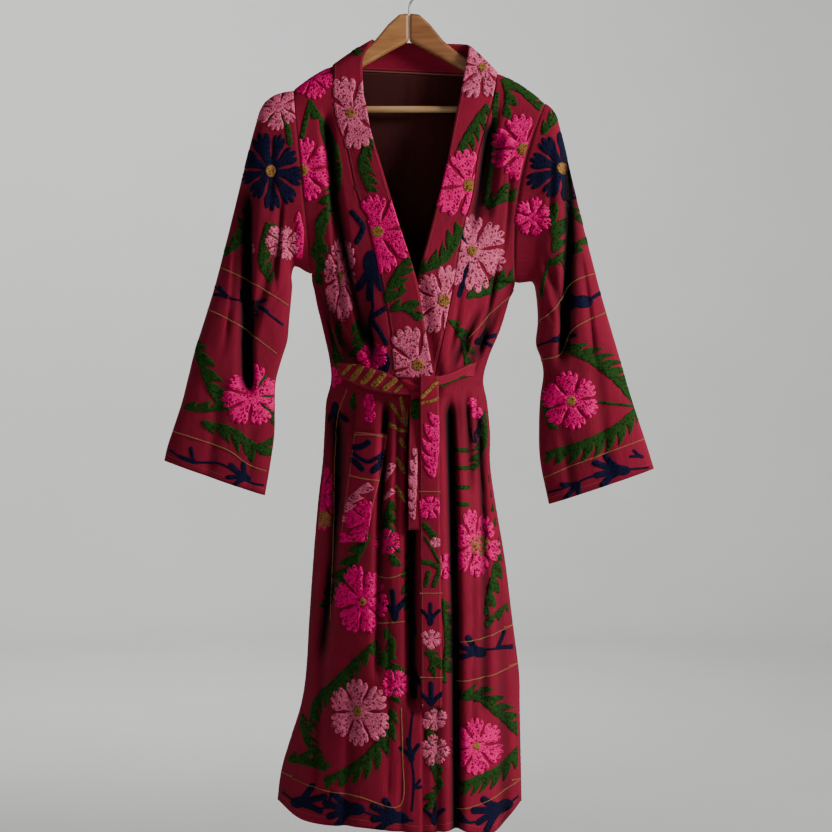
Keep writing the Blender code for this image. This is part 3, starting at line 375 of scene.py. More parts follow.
# The petals', leaves' and sprigs' shapes: shares of their size, counts of points, and angles.
PETAL_SLIT = 0.042
PETAL_WIDE = 0.40
PETAL_SHIFT = 0.12
PETAL_SHORTEST = 0.80
PETAL_ROOT = (0.15, 0.27)
PETAL_FLANK = ((0.86, 0.50), (0.98, 0.70))
PETAL_CROWN = 0.14
FINGER_CUT = 0.17
FINGER_ROUND = 0.55
FINGER_POINTS = 6
HEART_POINTS = 14
TOOTH_POINTS = 8
TOOTH_ROUND = 0.8
TOOTH_LEAN = 0.80
LEAF_BLADE = 0.24
LEAF_PLAIN = 0.26
LEAF_PLAIN_WAVE = 0.08
LEAF_BASE = 0.06
LEAF_TIP = 0.96
SPRIG_BEND = 12
SPRIG_SHORTER = 0.12
SPRIG_UNEVEN = 0.10
SPRIG_WIDTH = 0.24
SPRIG_LEAST_MM = 4.4
BUD_WIDTH = 0.62
# Where stitches run, how far they stand off the cloth, and the steps of lines and vines.
SIDE_SEAM_START = 0.30
SLEEVE_MARGIN = (3, 3)
HEM_STITCH = 0.012
CUFF_STITCH = 0.010
BAND_STITCH_IN = 0.07
BELT_STITCH_IN = 0.10
POCKET_STITCH_IN = 0.04
POCKET_ROW_IN = 0.4
LINE_LIFT = 0.0003
TOP_LIFT = 0.0001
LINE_STEP_MM = 3
VINE_STEP_MM = 5
# How folds fade at their ends, how much deeper the fronts' are than on the solids, and how deep a fold lies
# when its painted shade is at full.
FOLD_FADE = 0.045
FOLD_POWER = 1.35
FOLD_DEEPER = 1.55
FOLD_LIMIT = 0.62
FRONT_HOLLOW = 0.026
BACK_HOLLOW = 0.020
SLEEVE_HOLLOW = 0.020
LIP_EDGE = 0.26
# How the under front lies behind the top one.
UNDER_DROP = 0.0080
UNDER_BLEND = 0.020
UNDER_CLEAR = 0.003
# The cloth's small unevenness, with a seed for each kind of piece.
CRINKLE_BROAD = 0.0016
CRINKLE_BROAD_SCALE = (16, 7)
CRINKLE_FINE = 0.0006
CRINKLE_FINE_SCALE = (70, 32)
FRONT_SEED = 1.0
BACK_SEED = 5.0
SLEEVE_FRONT_SEED = 11.0
SLEEVE_BACK_SEED = 17.0
BAND_SEED = 21.0
# How folds fade towards a panel's edges.
FRONT_EDGE_FADE = 0.12
BACK_EDGE_FADE = 0.06
SHOULDER_FADE_STEPS = 3

# The sleeves' sections, from the armhole to the cuff.
SLEEVE_RIGHT = (
    Ring(-0.203, -0.1905, -0.168, -0.478, 0.030, 0.024), Ring(-0.221, -0.1975, -0.178, -0.472, 0.031, 0.024),
    Ring(-0.2365, -0.2130, -0.186, -0.471, 0.032, 0.025), Ring(-0.248, -0.2460, -0.190, -0.480, 0.034, 0.026),
    Ring(-0.265, -0.3120, -0.191, -0.490, 0.036, 0.027), Ring(-0.282, -0.3820, -0.190, -0.504, 0.036, 0.027),
    Ring(-0.299, -0.4500, -0.192, -0.528, 0.035, 0.026), Ring(-0.314, -0.5070, -0.195, -0.560, 0.033, 0.024),
    Ring(-0.331, -0.5620, -0.198, -0.592, 0.032, 0.023), Ring(-0.346, -0.6100, -0.208, -0.624, 0.031, 0.022),
    Ring(-0.356, -0.6500, -0.217, -0.660, 0.030, 0.022), Ring(-0.366, -0.6900, -0.218, -0.702, 0.029, 0.021),
    Ring(-0.379, -0.7300, -0.219, -0.745, 0.028, 0.020), Ring(-0.389, -0.7600, -0.226, -0.795, 0.027, 0.020),
    Ring(-0.395, -0.7850, -0.234, -0.841, 0.026, 0.019),
)
SLEEVE_LEFT = (
    Ring(0.2255, -0.2120, 0.178, -0.4970, 0.030, 0.024), Ring(0.2315, -0.2185, 0.186, -0.4960, 0.031, 0.024),
    Ring(0.238, -0.2300, 0.194, -0.4950, 0.032, 0.025), Ring(0.245, -0.2560, 0.200, -0.4960, 0.034, 0.026),
    Ring(0.256, -0.3020, 0.204, -0.5040, 0.036, 0.027), Ring(0.268, -0.3540, 0.206, -0.5160, 0.036, 0.027),
    Ring(0.281, -0.4080, 0.208, -0.5340, 0.035, 0.026), Ring(0.294, -0.4580, 0.209, -0.5620, 0.033, 0.024),
    Ring(0.308, -0.5120, 0.206, -0.5960, 0.032, 0.023), Ring(0.323, -0.5640, 0.214, -0.6200, 0.031, 0.022),
    Ring(0.339, -0.6180, 0.218, -0.6460, 0.030, 0.022), Ring(0.352, -0.6640, 0.213, -0.6840, 0.029, 0.021),
    Ring(0.366, -0.7080, 0.211, -0.7300, 0.028, 0.020), Ring(0.382, -0.7560, 0.213, -0.7860, 0.027, 0.020),
    Ring(0.395, -0.7980, 0.227, -0.8550, 0.026, 0.019),
)
# The band's sections where it turns round the neck.
TURN_RIGHT = (
    Turn(-0.1222, -0.0010, -0.1455, -0.0584, -0.0020, -0.1046),
    Turn(-0.1232, -0.0075, -0.1490, -0.0596, -0.0100, -0.1080),
    Turn(-0.1220, -0.0125, -0.1580, -0.0640, -0.0150, -0.1180),
    Turn(-0.1215, -0.0150, -0.1720, -0.0745, -0.0170, -0.1420),
)
TURN_LEFT = (
    Turn(0.1402, -0.0010, -0.1570, 0.0960, -0.0020, -0.1146),
    Turn(0.1412, -0.0075, -0.1605, 0.0962, -0.0110, -0.1190),
    Turn(0.1400, -0.0125, -0.1680, 0.0948, -0.0155, -0.1290),
    Turn(0.1385, -0.0150, -0.1800, 0.0915, -0.0170, -0.1480),
)
BACK_TURN = (
    Turn(-0.1215, 0.0055, -0.1455, -0.0584, 0.0045, -0.1046),
    Turn(-0.1120, 0.0135, -0.1481, -0.0540, 0.0125, -0.1040),
    Turn(-0.0920, 0.0170, -0.1493, -0.0440, 0.0155, -0.1050),
    Turn(-0.0620, 0.0190, -0.1506, -0.0270, 0.0165, -0.1055),
    Turn(-0.0300, 0.0195, -0.1520, -0.0110, 0.0165, -0.1060),
    Turn(0.0050, 0.0195, -0.1536, 0.0080, 0.0165, -0.1062),
    Turn(0.0400, 0.0195, -0.1551, 0.0300, 0.0165, -0.1066),
    Turn(0.0750, 0.0190, -0.1567, 0.0560, 0.0165, -0.1072),
    Turn(0.1050, 0.0170, -0.1580, 0.0780, 0.0155, -0.1080),
    Turn(0.1280, 0.0135, -0.1588, 0.0920, 0.0125, -0.1095),
    Turn(0.1395, 0.0055, -0.1570, 0.0960, 0.0045, -0.1146),
)
BAND_PROUD = 0.0040
# The belt's sections, and how its front goes in under the cloth at the sides.
BELT_RIGHT = (
    BeltRow(-0.125, -0.6370, 0.0110, 0.0045), BeltRow(-0.102, -0.6415, 0.0135, 0.0050),
    BeltRow(-0.080, -0.6480, 0.0165, 0.0060), BeltRow(-0.060, -0.6545, 0.0170, 0.0065),
    BeltRow(-0.040, -0.6600, 0.0165, 0.0075), BeltRow(-0.0237, -0.6646, 0.0140, 0.0090),
    BeltRow(-0.0066, -0.6699, 0.0095, 0.0110), BeltRow(0.0120, -0.6740, 0.0050, 0.0110),
)
BELT_LEFT = (
    BeltRow(0.121, -0.633, 0.015, 0.0050), BeltRow(0.104, -0.637, 0.012, 0.0055),
    BeltRow(0.086, -0.642, 0.009, 0.0060), BeltRow(0.066, -0.652, 0.008, 0.0080),
    BeltRow(0.0435, -0.661, 0.010, 0.0110),
)
BELT_GROW = 0.0035
BELT_SEAT = 0.0001
BELT_RIGHT_UNDER = 0.102
BELT_LEFT_UNDER = 0.089
BELT_UNDER_RUN = 0.012
BELT_UNDER_DEPTH = 0.014
BELT_BACK_REACH = 0.97
# The belt's two hanging ends, from the knot down.
TAIL = (
    BeltRow(0.0320, -0.6500, 0.0145, 0.0244), BeltRow(0.0320, -0.6680, 0.0148, 0.0250),
    BeltRow(0.0322, -0.6900, 0.0150, 0.0216), BeltRow(0.0325, -0.7300, 0.0152, 0.0130),
    BeltRow(0.0325, -0.8000, 0.0155, 0.0100), BeltRow(0.0330, -0.9000, 0.0160, 0.0090),
    BeltRow(0.0345, -1.0200, 0.0165, 0.0085), BeltRow(0.0360, -1.1680, 0.0168, 0.0085),
)
TAIL_UNDER = (
    BeltRow(0.0130, -0.6885, 0.0105, 0.0085), BeltRow(0.0120, -0.7300, 0.0115, 0.0058),
    BeltRow(0.0110, -0.8000, 0.0118, 0.0050), BeltRow(0.0110, -0.8920, 0.0120, 0.0050),
)
# How deep the neck seam lies: in place of z, the share of the way from the shoulder to the underarm.
NECK_DEPTH = (
    EdgeRow(0.0, SEAM_HALF), EdgeRow(0.038, 0.0125), EdgeRow(0.146, 0.0165), EdgeRow(0.309, 0.0240),
    EdgeRow(0.5, 0.0320), EdgeRow(0.7, 0.0400), EdgeRow(1.0, 0.0490),
)
FRONT_LEVELS = (-0.515, -0.545, -0.575, -0.605, -0.632, WAIST_Z, -0.661, -0.667, -0.676, -0.700, -0.735,
                -0.785, -0.840, -0.900, -0.965, -1.030, -1.095, -1.155, -1.210, -1.265, -1.315, HEM_Z)
# The pocket: x and z of its outer and its inner corner, above and below, and how it lies.
POCKET_TOP = (-0.087, -0.737, -0.033, -0.742)
POCKET_END = (-0.110, -0.914, -0.066, -0.912)
POCKET_CLOTH = 0.0016
POCKET_RAISE = 0.0040
POCKET_FOLLOW = 0.75
# The knot: its place and size, and shares of its size that shape it.
KNOT_CENTRE = (0.0115, -0.6690)
KNOT_SIZE = (0.0540, 0.0160, 0.0390)
KNOT_TAPER = 0.66
KNOT_TAPER_TOP = 0.62
KNOT_TAPER_RUN = 1.3
KNOT_PINCH = 0.16
KNOT_CORNER = 0.10
KNOT_CROWN = 0.25
KNOT_PLEATS = 15
KNOT_PLEAT_DEPTH = 0.0045
KNOT_SLOPE = 0.0050
KNOT_CUTS = 22
KNOT_RAISE = 0.0045


def smooth(value: float) -> float:
    """Ease from 0 to 1."""
    value = min(max(value, 0.0), 1.0)
    return value * value * (3 - 2 * value)


def mix(first: float, last: float, part: float) -> float:
    """Blend two numbers."""
    return first + (last - first) * part


def lens(s: float) -> float:
    """Crown of a flattened tube across its width, 1 at the centre and 0 at the side."""
    return 1 - min(abs(s), 1.0) ** LENS_POWER


def spread(first: float, last: float, step: float) -> list[float]:
    """Even numbers from first to last, no further apart than step."""
    count = max(2, math.ceil(abs(last - first) / step) + 1)
    return [mix(first, last, i / (count - 1)) for i in range(count)]


class Place(Enum):
    """Where a piece lies, which says whose folds set its painted shade."""

    FRONT = "front"
    BACK = "back"
    SLEEVE = "sleeve"
    PLAIN = "plain"


@dataclass
class CoatForm:
    """The hanging coat's form: where each piece of cloth lies, from the seams and folds."""

    side_right: Curve = field(default_factory=lambda: Curve(SIDE_SEAM, "z", "right"))
    side_left: Curve = field(default_factory=lambda: Curve(SIDE_SEAM, "z", "left"))
    depth_front: Curve = field(default_factory=lambda: Curve(DEPTH, "z", "front"))
    depth_back: Curve = field(default_factory=lambda: Curve(DEPTH, "z", "back"))
    seam_right: Curve = field(default_factory=lambda: Curve(SEAM_RIGHT, "z", "x"))
    seam_left: Curve = field(default_factory=lambda: Curve(SEAM_LEFT, "z", "x"))
    free_right: Curve = field(default_factory=lambda: Curve(FREE_RIGHT, "z", "x"))
    free_left: Curve = field(default_factory=lambda: Curve(FREE_LEFT, "z", "x"))
    open_right: Curve = field(default_factory=lambda: Curve(OPEN_EDGE_RIGHT, "z", "x"))
    open_left: Curve = field(default_factory=lambda: Curve(OPEN_EDGE_LEFT, "z", "x"))
    neck_depth: Curve = field(default_factory=lambda: Curve(NECK_DEPTH, "z", "x"))
    hem: Curve = field(default_factory=lambda: Curve(HEM, "x", "z"))

    def centre_x(self, z: float) -> float:
        """Middle of the body at a height below the underarm."""
        return (self.side_right(z) + self.side_left(z)) / 2

    def depth(self, face: str) -> Curve:
        """The curve of depths of the front or of the back."""
        return self.depth_front if face == "front" else self.depth_back

    def body_depth(self, x: float, z: float, face: str) -> float:
        """How far the smooth body stands from the hanger's plane, below the underarm.

        Args:
            x: place across the body.
            z: height.
            face: "front" or "back".

        Returns:
            The depth of the cloth's middle.
        """
        middle = self.centre_x(z)
        side = self.side_left(z) if x > middle else self.side_right(z)
        return SEAM_HALF + (self.depth(face)(z) - SEAM_HALF) * lens((x - middle) / abs(side - middle))

    @staticmethod
    def fold_depth(folds: Sequence[Fold], x: float, z: float) -> float:
        """Depth of the troughs at a point.

        Args:
            folds: the troughs.
            x: place across the body.
            z: height.

        Returns:
            How far the cloth is set back there.
        """
        total = 0.0
        for fold in folds:
            length = fold.top_z - fold.end_z
            part = (fold.top_z - z) / length
            if part <= 0 or part >= 1:
                continue
            off = (x - mix(fold.top_x, fold.end_x, part) - fold.bend * 4 * part * (1 - part)) / fold.half
            if abs(off) >= 1:
                continue
            toward = off * fold.lip
            if fold.lip and toward > 0:
                shape = smooth(1 - toward / LIP_EDGE)
            elif fold.lip:
                shape = smooth(1 + toward)
            else:
                shape = ((1 + math.cos(math.pi * off)) / 2) ** FOLD_POWER
            fade = smooth(part * length / FOLD_FADE) * smooth((1 - part) * length / FOLD_FADE)
            total += fade * mix(fold.deep_top, fold.deep_end, part) * shape
        return total

    def front_trough(self, x: float, z: float) -> float:
        """Depth of every fold and crease of the fronts at a point, held short of the back."""
        depth = FOLD_DEEPER * self.fold_depth(FRONT_FOLDS, x, z) + self.fold_depth(FRONT_CREASES, x, z)
        return min(depth, FOLD_LIMIT * self.depth_front(z))

    def hollow(self, where: Place, x: float, z: float) -> float:
        """How far a point lies down in a fold, from 0 on the crests to 1; the materials paint shade from it.

        Args:
            where: the piece's place.
            x: place across.
            z: height.

        Returns:
            The share.
        """
        if where is Place.FRONT:
            return min(self.front_trough(x, z) / FRONT_HOLLOW, 1.0)
        if where is Place.BACK:
            depth = self.fold_depth(BACK_FOLDS, x, z) + self.fold_depth(BACK_CREASES, x, z)
            return min(depth / BACK_HOLLOW, 1.0)
        if where is Place.SLEEVE:
            depth = self.fold_depth(SLEEVE_FOLDS, x, z) + self.fold_depth(SLEEVE_CREASES, x, z)
            return min(depth / SLEEVE_HOLLOW, 1.0)
        return 0.0

    @staticmethod
    def crinkle(x: float, z: float, seed: float) -> float:
        """Small unevenness of worn cotton.

        Args:
            x: place across.
            z: height.
            seed: which piece's unevenness, so that no two are the same.

        Returns:
            How far the cloth stands out, in metres.
        """
        broad = noise.noise(Vector((x * CRINKLE_BROAD_SCALE[0], z * CRINKLE_BROAD_SCALE[1], seed)))
        fine = noise.noise(Vector((x * CRINKLE_FINE_SCALE[0], z * CRINKLE_FINE_SCALE[1], seed + 9)))
        return CRINKLE_BROAD * broad + CRINKLE_FINE * fine

    @staticmethod
    def armhole(side: Side, step: float, face: str) -> tuple[float, float, float]:
        """Point of the armhole seam.

        Args:
            side: the side of the coat.
            step: 0 at the shoulder tip, ARMHOLE_STEPS at the underarm.
            face: "front" or "back".

        Returns:
            x, the depth and z.
        """
        angle = math.pi * step / ARMHOLE_STEPS
        part = (1 - math.cos(angle)) / 2
        x = mix(side.tip_x, side.under_x, part) + side.bow * 4 * part * (1 - part)
        z = mix(side.tip_z, side.under_z, part)
        reach = ARMHOLE_FRONT if face == "front" else ARMHOLE_BACK
        return x, max(reach * max(math.sin(angle), 0.0) ** ARMHOLE_ROUND, SEAM_HALF), z

    def under_drop(self, x: float, z: float) -> float:
        """How far the under front lies behind the top front where they overlap."""
        edge = self.open_right if z < FRONT_JOG_Z else self.free_right
        return UNDER_DROP * smooth((edge(z) + UNDER_BLEND + UNDER_CLEAR - x) / UNDER_BLEND)

    def hem_drop(self, x: float, z: float) -> float:
        """Move a low point so that the last row follows the hem."""
        return smooth((HEM_Z + HEM_REACH - z) / HEM_REACH) * (self.hem(x) - HEM_Z)

    def front_point(self, side: Side, step: float, z: float, u: float) -> Vector:
        """Point on a front.

        Args:
            side: the front's side.
            step: place down the armhole, or more than ARMHOLE_STEPS below it.
            z: the height, used below the armhole.
            u: 0 at the outer edge, 1 at the inner edge.

        Returns:
            The point on the cloth's middle surface.
        """
        seam, opening = (self.seam_right, self.open_right)
        if side.sign > 0:
            seam, opening = (self.seam_left, self.open_left)
        if step <= ARMHOLE_STEPS:
            part = (1 - math.cos(math.pi * step / ARMHOLE_STEPS)) / 2
            outer_x, outer_depth, outer_z = self.armhole(side, step, "front")
            inner_z = mix(side.neck_z, side.under_z, part)
            inner_x = seam(inner_z)
            low_depth = self.body_depth(inner_x, inner_z, "front")
            inner_depth = mix(self.neck_depth(part), low_depth, smooth(part * 2 - 1))
            middle = self.centre_x(side.under_z)
            x = mix(outer_x, inner_x, u)
            z = mix(outer_z, inner_z, u) + side.crown * 4 * u * (1 - u) * (1 - part) ** 2
            crown = lens((x - middle) / (outer_x - middle)) / lens((inner_x - middle) / (outer_x - middle))
            depth = mix(outer_depth, inner_depth, crown)
            fade = smooth(u / FRONT_EDGE_FADE) * smooth((1 - u) / FRONT_EDGE_FADE)
            fade *= smooth(step / SHOULDER_FADE_STEPS)
        else:
            above = z >= WAIST_Z
            outer_x = self.side_left(z) if side.sign > 0 else self.side_right(z)
            outer_x = mix(side.under_x, outer_x, smooth((side.under_z - z) / UNDERARM_BLEND))
            x = mix(outer_x, seam(z) if above else opening(z), u)
            depth = self.body_depth(x, z, "front")
            fade = smooth(u / FRONT_EDGE_FADE) * (smooth((1 - u) / FRONT_EDGE_FADE) if above else 1.0)
            z += self.hem_drop(x, z)
        depth -= fade * (self.front_trough(x, z) + self.crinkle(x, z, FRONT_SEED))
        if side.sign > 0:
            depth -= self.under_drop(x, z)
        return Vector((x, -depth, z))

    def back_point(self, step: float, z: float, s: float, creases: bool = True) -> Vector:
        """Point on the back.

        Args:
            step: place down the armhole, or more than ARMHOLE_STEPS below it.
            z: the height, used below the armhole.
            s: 0 at the right side, 1 at the left.
            creases: whether the small creases are in.

        Returns:
            The point on the cloth's middle surface.
        """
        fade = smooth(s / BACK_EDGE_FADE) * smooth((1 - s) / BACK_EDGE_FADE)
        if step <= ARMHOLE_STEPS:
            part = (1 - math.cos(math.pi * step / ARMHOLE_STEPS)) / 2
            right = self.armhole(RIGHT, step, "back")
            left = self.armhole(LEFT, step, "back")
            top_x = mix(RIGHT.tip_x, LEFT.tip_x, s)
            x = mix(right[0], left[0], s)
            if top_x < RIGHT.neck_x:
                run = (top_x - RIGHT.tip_x) / (RIGHT.neck_x - RIGHT.tip_x)
                top_z = mix(RIGHT.tip_z, RIGHT.neck_z, run) + RIGHT.crown * 4 * run * (1 - run)
            elif top_x > LEFT.neck_x:
                run = (top_x - LEFT.neck_x) / (LEFT.tip_x - LEFT.neck_x)
                top_z = mix(LEFT.neck_z, LEFT.tip_z, run) + LEFT.crown * 4 * run * (1 - run)
            else:
                run = (top_x - RIGHT.neck_x) / (LEFT.neck_x - RIGHT.neck_x)
                top_z = mix(RIGHT.neck_z, LEFT.neck_z, run)
            z = mix(top_z, mix(RIGHT.under_z, LEFT.under_z, s), part)
            full = self.depth_back(z)
            depth = mix(mix(right[1], left[1], s), full, lens(2 * s - 1))
            inside = min(top_x - RIGHT.neck_x, LEFT.neck_x - top_x)
            seam_depth = mix(SEAM_HALF, full, smooth(inside / NECK_TURN))
            depth = mix(seam_depth, depth, smooth(step))
            fade *= smooth(step / SHOULDER_FADE_STEPS)
        else:
            x = mix(self.side_right(z), self.side_left(z), s)
            depth = self.body_depth(x, z, "back")
            z += self.hem_drop(x, z)
        depth -= fade * self.fold_depth(BACK_FOLDS, x, z)
        if creases:
            depth -= fade * (self.fold_depth(BACK_CREASES, x, z) + self.crinkle(x, z, BACK_SEED))
        return Vector((x, depth, z))

    def belt_point(self, s: float, z: float, face: str, raised: float) -> Vector:
        """Point of the belt round the waist.

        Args:
            s: -1 at the right side seam, 1 at the left.
            z: height.
            face: "front" or "back".
            raised: how far it stands out from the body.

        Returns:
            The point on the belt's middle surface.
        """
        middle = self.centre_x(z)
        side = self.side_left(z) if s > 0 else self.side_right(z)
        half = abs(side - middle) + BELT_GROW * s * s
        out = BELT / 2 - BELT_SEAT + (self.depth(face)(z) + raised) * lens(s)
        return Vector((middle + s * half, -out if face == "front" else out, z))


FORM = CoatForm()


class Shade(Enum):
    """Thread colours: linear colour, the darker tone painted between the loops and in the gaps as shade, and
    the raise in mm.
    """

    NAVY = ((0.0040, 0.0042, 0.030), (0.0015, 0.0015, 0.006), 0.70)
    GREEN = ((0.015, 0.056, 0.006), (0.005, 0.017, 0.002), 0.80)
    ROSE = ((0.72, 0.130, 0.240), (0.150, 0.010, 0.026), 0.90)
    FUCHSIA = ((0.84, 0.0001, 0.175), (0.210, 0.001, 0.028), 1.00)
    TAN = ((0.31, 0.150, 0.040), (0.10, 0.032, 0.009), 1.15)


class Paint:
    """A short way to lay out one material's nodes."""

    def __init__(self, name: str, rough: float, metal: float = 0.0, sheen: float = 0.0,
                 gloss: float = 0.5) -> None:
        """Start a material.

        Args:
            name: its name.
            rough: its roughness.
            metal: 1 for bare metal.
            sheen: how much its fluff lights up.
            gloss: how much it reflects, 0.5 for most surfaces.
        """
        self.made = bpy.data.materials.new(name)
        self.made.use_nodes = True
        self.nodes = self.made.node_tree.nodes
        self.shader = self.nodes["Principled BSDF"]
        self.shader.inputs["Roughness"].default_value = rough
        self.shader.inputs["Metallic"].default_value = metal
        self.shader.inputs["Sheen Weight"].default_value = sheen
        self.shader.inputs["Specular IOR Level"].default_value = gloss
        self.shader.inputs["Sheen Roughness"].default_value = 0.5

    def add(self, kind: str, settings: dict | None = None, **values: object) -> bpy.types.Node:
        """Add a node.

        Args:
            kind: the node's type.
            settings: properties of the node.
            values: inputs by name, with _ for a space: a value or a socket to link from.

        Returns:
            The node.
        """
        node = self.nodes.new(kind)
        for key, value in (settings or {}).items():
            setattr(node, key, value)
        for key, value in values.items():
            socket = node.inputs[int(key[1:])] if key[1:].isdigit() else node.inputs[key.replace("_", " ")]
            if isinstance(value, bpy.types.NodeSocket):
                self.made.node_tree.links.new(value, socket)
            else:
                socket.default_value = value
        return node

    def math(self, operation: str, first: object, last: object = 0.0, clamp: bool = False) -> object:
        """One step of arithmetic on sockets or numbers."""
        settings = {"operation": operation, "use_clamp": clamp}
        return self.add("ShaderNodeMath", settings, i0=first, i1=last).outputs[0]

    def paint_fold_shade(self, colour: object) -> bpy.types.NodeSocket:
        """Paint shade into a colour down in the folds, darker the deeper a point lies."""
        hollow = self.add("ShaderNodeAttribute", {"attribute_name": "hollow"}).outputs["Fac"]
        return self.blend(colour, FOLD_SHADE, self.ramp(hollow, *FOLD_SHADE_RANGE))

    def blend(self, first: object, last: object, part: object) -> bpy.types.NodeSocket:
        """Mix two colours.

        Args:
            first: a colour or its socket.
            last: a colour or its socket.
            part: the share of the last one, or its socket.

        Returns:
            The mixed colour's socket.
        """
        node = self.add("ShaderNodeMix", {"data_type": "RGBA"})
        for index, value in ((0, part), (6, first), (7, last)):
            if isinstance(value, bpy.types.NodeSocket):
                self.made.node_tree.links.new(value, node.inputs[index])
            elif index:
                node.inputs[index].default_value = (*value, 1.0)
            else:
                node.inputs[index].default_value = value
        return node.outputs[2]

    def ramp(self, value: object, low: float, high: float) -> bpy.types.NodeSocket:
        """Stretch a number so that low gives 0 and high gives 1."""
        return self.add("ShaderNodeMapRange", None, Value=value, From_Min=low, From_Max=high).outputs[0]

    def stretch(self, source: str, scale: tuple[float, float, float]) -> bpy.types.NodeSocket:
        """Texture coordinates, stretched."""
        place = self.add("ShaderNodeTexCoord").outputs[source]
        return self.add("ShaderNodeMapping", None, Vector=place, Scale=scale).outputs[0]

    def noise(self, vector: object, scale: float, detail: float = 3.0) -> bpy.types.NodeSocket:
        """Noise between about 0.3 and 0.7."""
        return self.add("ShaderNodeTexNoise", None, Vector=vector, Scale=scale, Detail=detail).outputs[0]

    def finish(self, colour: object, height: object, distance: float) -> bpy.types.Material:
        """Join the colour and the bump to the shader.

        Args:
            colour: the base colour's socket.
            height: the bump's height, 0 to 1.
            distance: the real depth of the bump, in metres.

        Returns:
            The material.
        """
        links = self.made.node_tree.links
        links.new(colour, self.shader.inputs["Base Color"])
        bump = self.add("ShaderNodeBump", None, Height=height, Distance=distance, Strength=1.0)
        links.new(bump.outputs[0], self.shader.inputs["Normal"])
        return self.made


@dataclass(frozen=True)
class ClothFinish:
    """Plain-woven cotton with slubs and tone that varies at random, with painted shade darkening it down in
    its folds.
    """

    name: str
    lit: tuple[float, float, float]
    deep: tuple[float, float, float]
    pitch: float = 0.0009
    slub: tuple[float, float, float] = (900.0, 34.0, 1.0)
    cloud: tuple[float, float, float] = (9.0, 5.0, 1.0)
    rough: float = 0.88
    sheen: float = 0.0
    bump: float = 0.00030

    def build(self) -> bpy.types.Material:
        """Make the material.

        Returns:
            The material.
        """
        paint = Paint(self.name, self.rough, sheen=self.sheen, gloss=CLOTH_GLOSS)
        place = paint.add("ShaderNodeTexCoord").outputs["UV"]
        scale = math.pi / 10 / self.pitch
        threads = [paint.add("ShaderNodeTexWave", {"bands_direction": axis}, Vector=place, Scale=scale,
                             Distortion=0.6, Detail=1.0).outputs[1] for axis in "XY"]
        weave = paint.math("MULTIPLY", threads[0], threads[1])
        slub = paint.noise(paint.stretch("UV", self.slub), 1.0, 2.0)
        cloud = paint.noise(paint.stretch("UV", self.cloud), 1.0, 5.0)
        tone = paint.math("ADD", paint.math("MULTIPLY", slub, 0.7), paint.math("MULTIPLY", cloud, 0.6))
        # Painted shade: the colour darkens down in the folds.
        colour = paint.paint_fold_shade(paint.blend(self.deep, self.lit, paint.ramp(tone, 0.42, 0.86)))
        height = paint.math("ADD", paint.math("MULTIPLY", weave, 0.6), slub)
        return paint.finish(colour, height, self.bump)


@dataclass(frozen=True)
class ThreadFinish:
    """Chain-stitched cotton thread: small dark dots between the loops are the ground showing through,
    darkened as painted shade in the gaps, and each loop is painted lighter at its middle and darker at its
    edge as shade.
    """

    shade: Shade
    dot_pitch: float = 0.0052
    loop_pitch: float = 0.0021
    cloud: tuple[float, float, float] = (60.0, 60.0, 1.0)
    rough: float = 0.85
    bump: float = 0.00055

    def build(self) -> bpy.types.Material:
        """Make the material.

        Returns:
            The material.
        """
        light, dark, _ = self.shade.value
        paint = Paint(f"thread_{self.shade.name.lower()}", self.rough, gloss=THREAD_GLOSS)
        place = paint.add("ShaderNodeTexCoord").outputs["UV"]
        dots = paint.add("ShaderNodeTexVoronoi", None, Vector=place, Scale=1 / self.dot_pitch).outputs[0]
        loops = paint.add("ShaderNodeTexVoronoi", None, Vector=place, Scale=1 / self.loop_pitch).outputs[0]
        rim = paint.add("ShaderNodeAttribute", {"attribute_name": "rim"}).outputs["Fac"]
        # Dark dots between the loops: the ground showing through, darkened further as painted shade in the
        # gaps.
        gap = paint.ramp(dots, 0.37, 0.25)
        inside = paint.ramp(rim, 0.62, 0.42)
        gap_ground_and_shade = paint.math("MULTIPLY", gap, inside)
        cloud = paint.noise(paint.stretch("UV", self.cloud), 1.0, 3.0)
        # Each loop is painted lighter at its middle and darker at its edge as painted shade between loops,
        # mixed with a random cloud of tone.
        tone = paint.math("ADD", paint.math("MULTIPLY", paint.ramp(loops, 0.75, 0.20), 0.55),
                          paint.math("MULTIPLY", cloud, 0.6))
        body = paint.blend(dark, light, paint.ramp(tone, 0.10, 0.62))
        # Painted shade: the thread darkens down in the folds of the cloth under it, and in the dots between
        # loops.
        colour = paint.paint_fold_shade(paint.blend(body, dark, gap_ground_and_shade))
        height = paint.math("SUBTRACT", paint.ramp(loops, 0.9, 0.1), paint.math("MULTIPLY", gap_ground_and_shade, 1.3))
        return paint.finish(colour, height, self.bump)


@dataclass(frozen=True)
class CordFinish:
    """Plain twisted cotton of single stitches."""

    name: str
    lit: tuple[float, float, float]
    deep: tuple[float, float, float]
    twist: tuple[float, float, float] = (900.0, 900.0, 900.0)
    rough: float = 0.85
    bump: float = 0.0002

    def build(self) -> bpy.types.Material:
        """Make the material.

        Returns:
            The material.
        """
        paint = Paint(self.name, self.rough)
        twist = paint.noise(paint.stretch("Object", self.twist), 1.0, 2.0)
        colour = paint.blend(self.deep, self.lit, paint.ramp(twist, 0.35, 0.65))
        return paint.finish(colour, twist, self.bump)


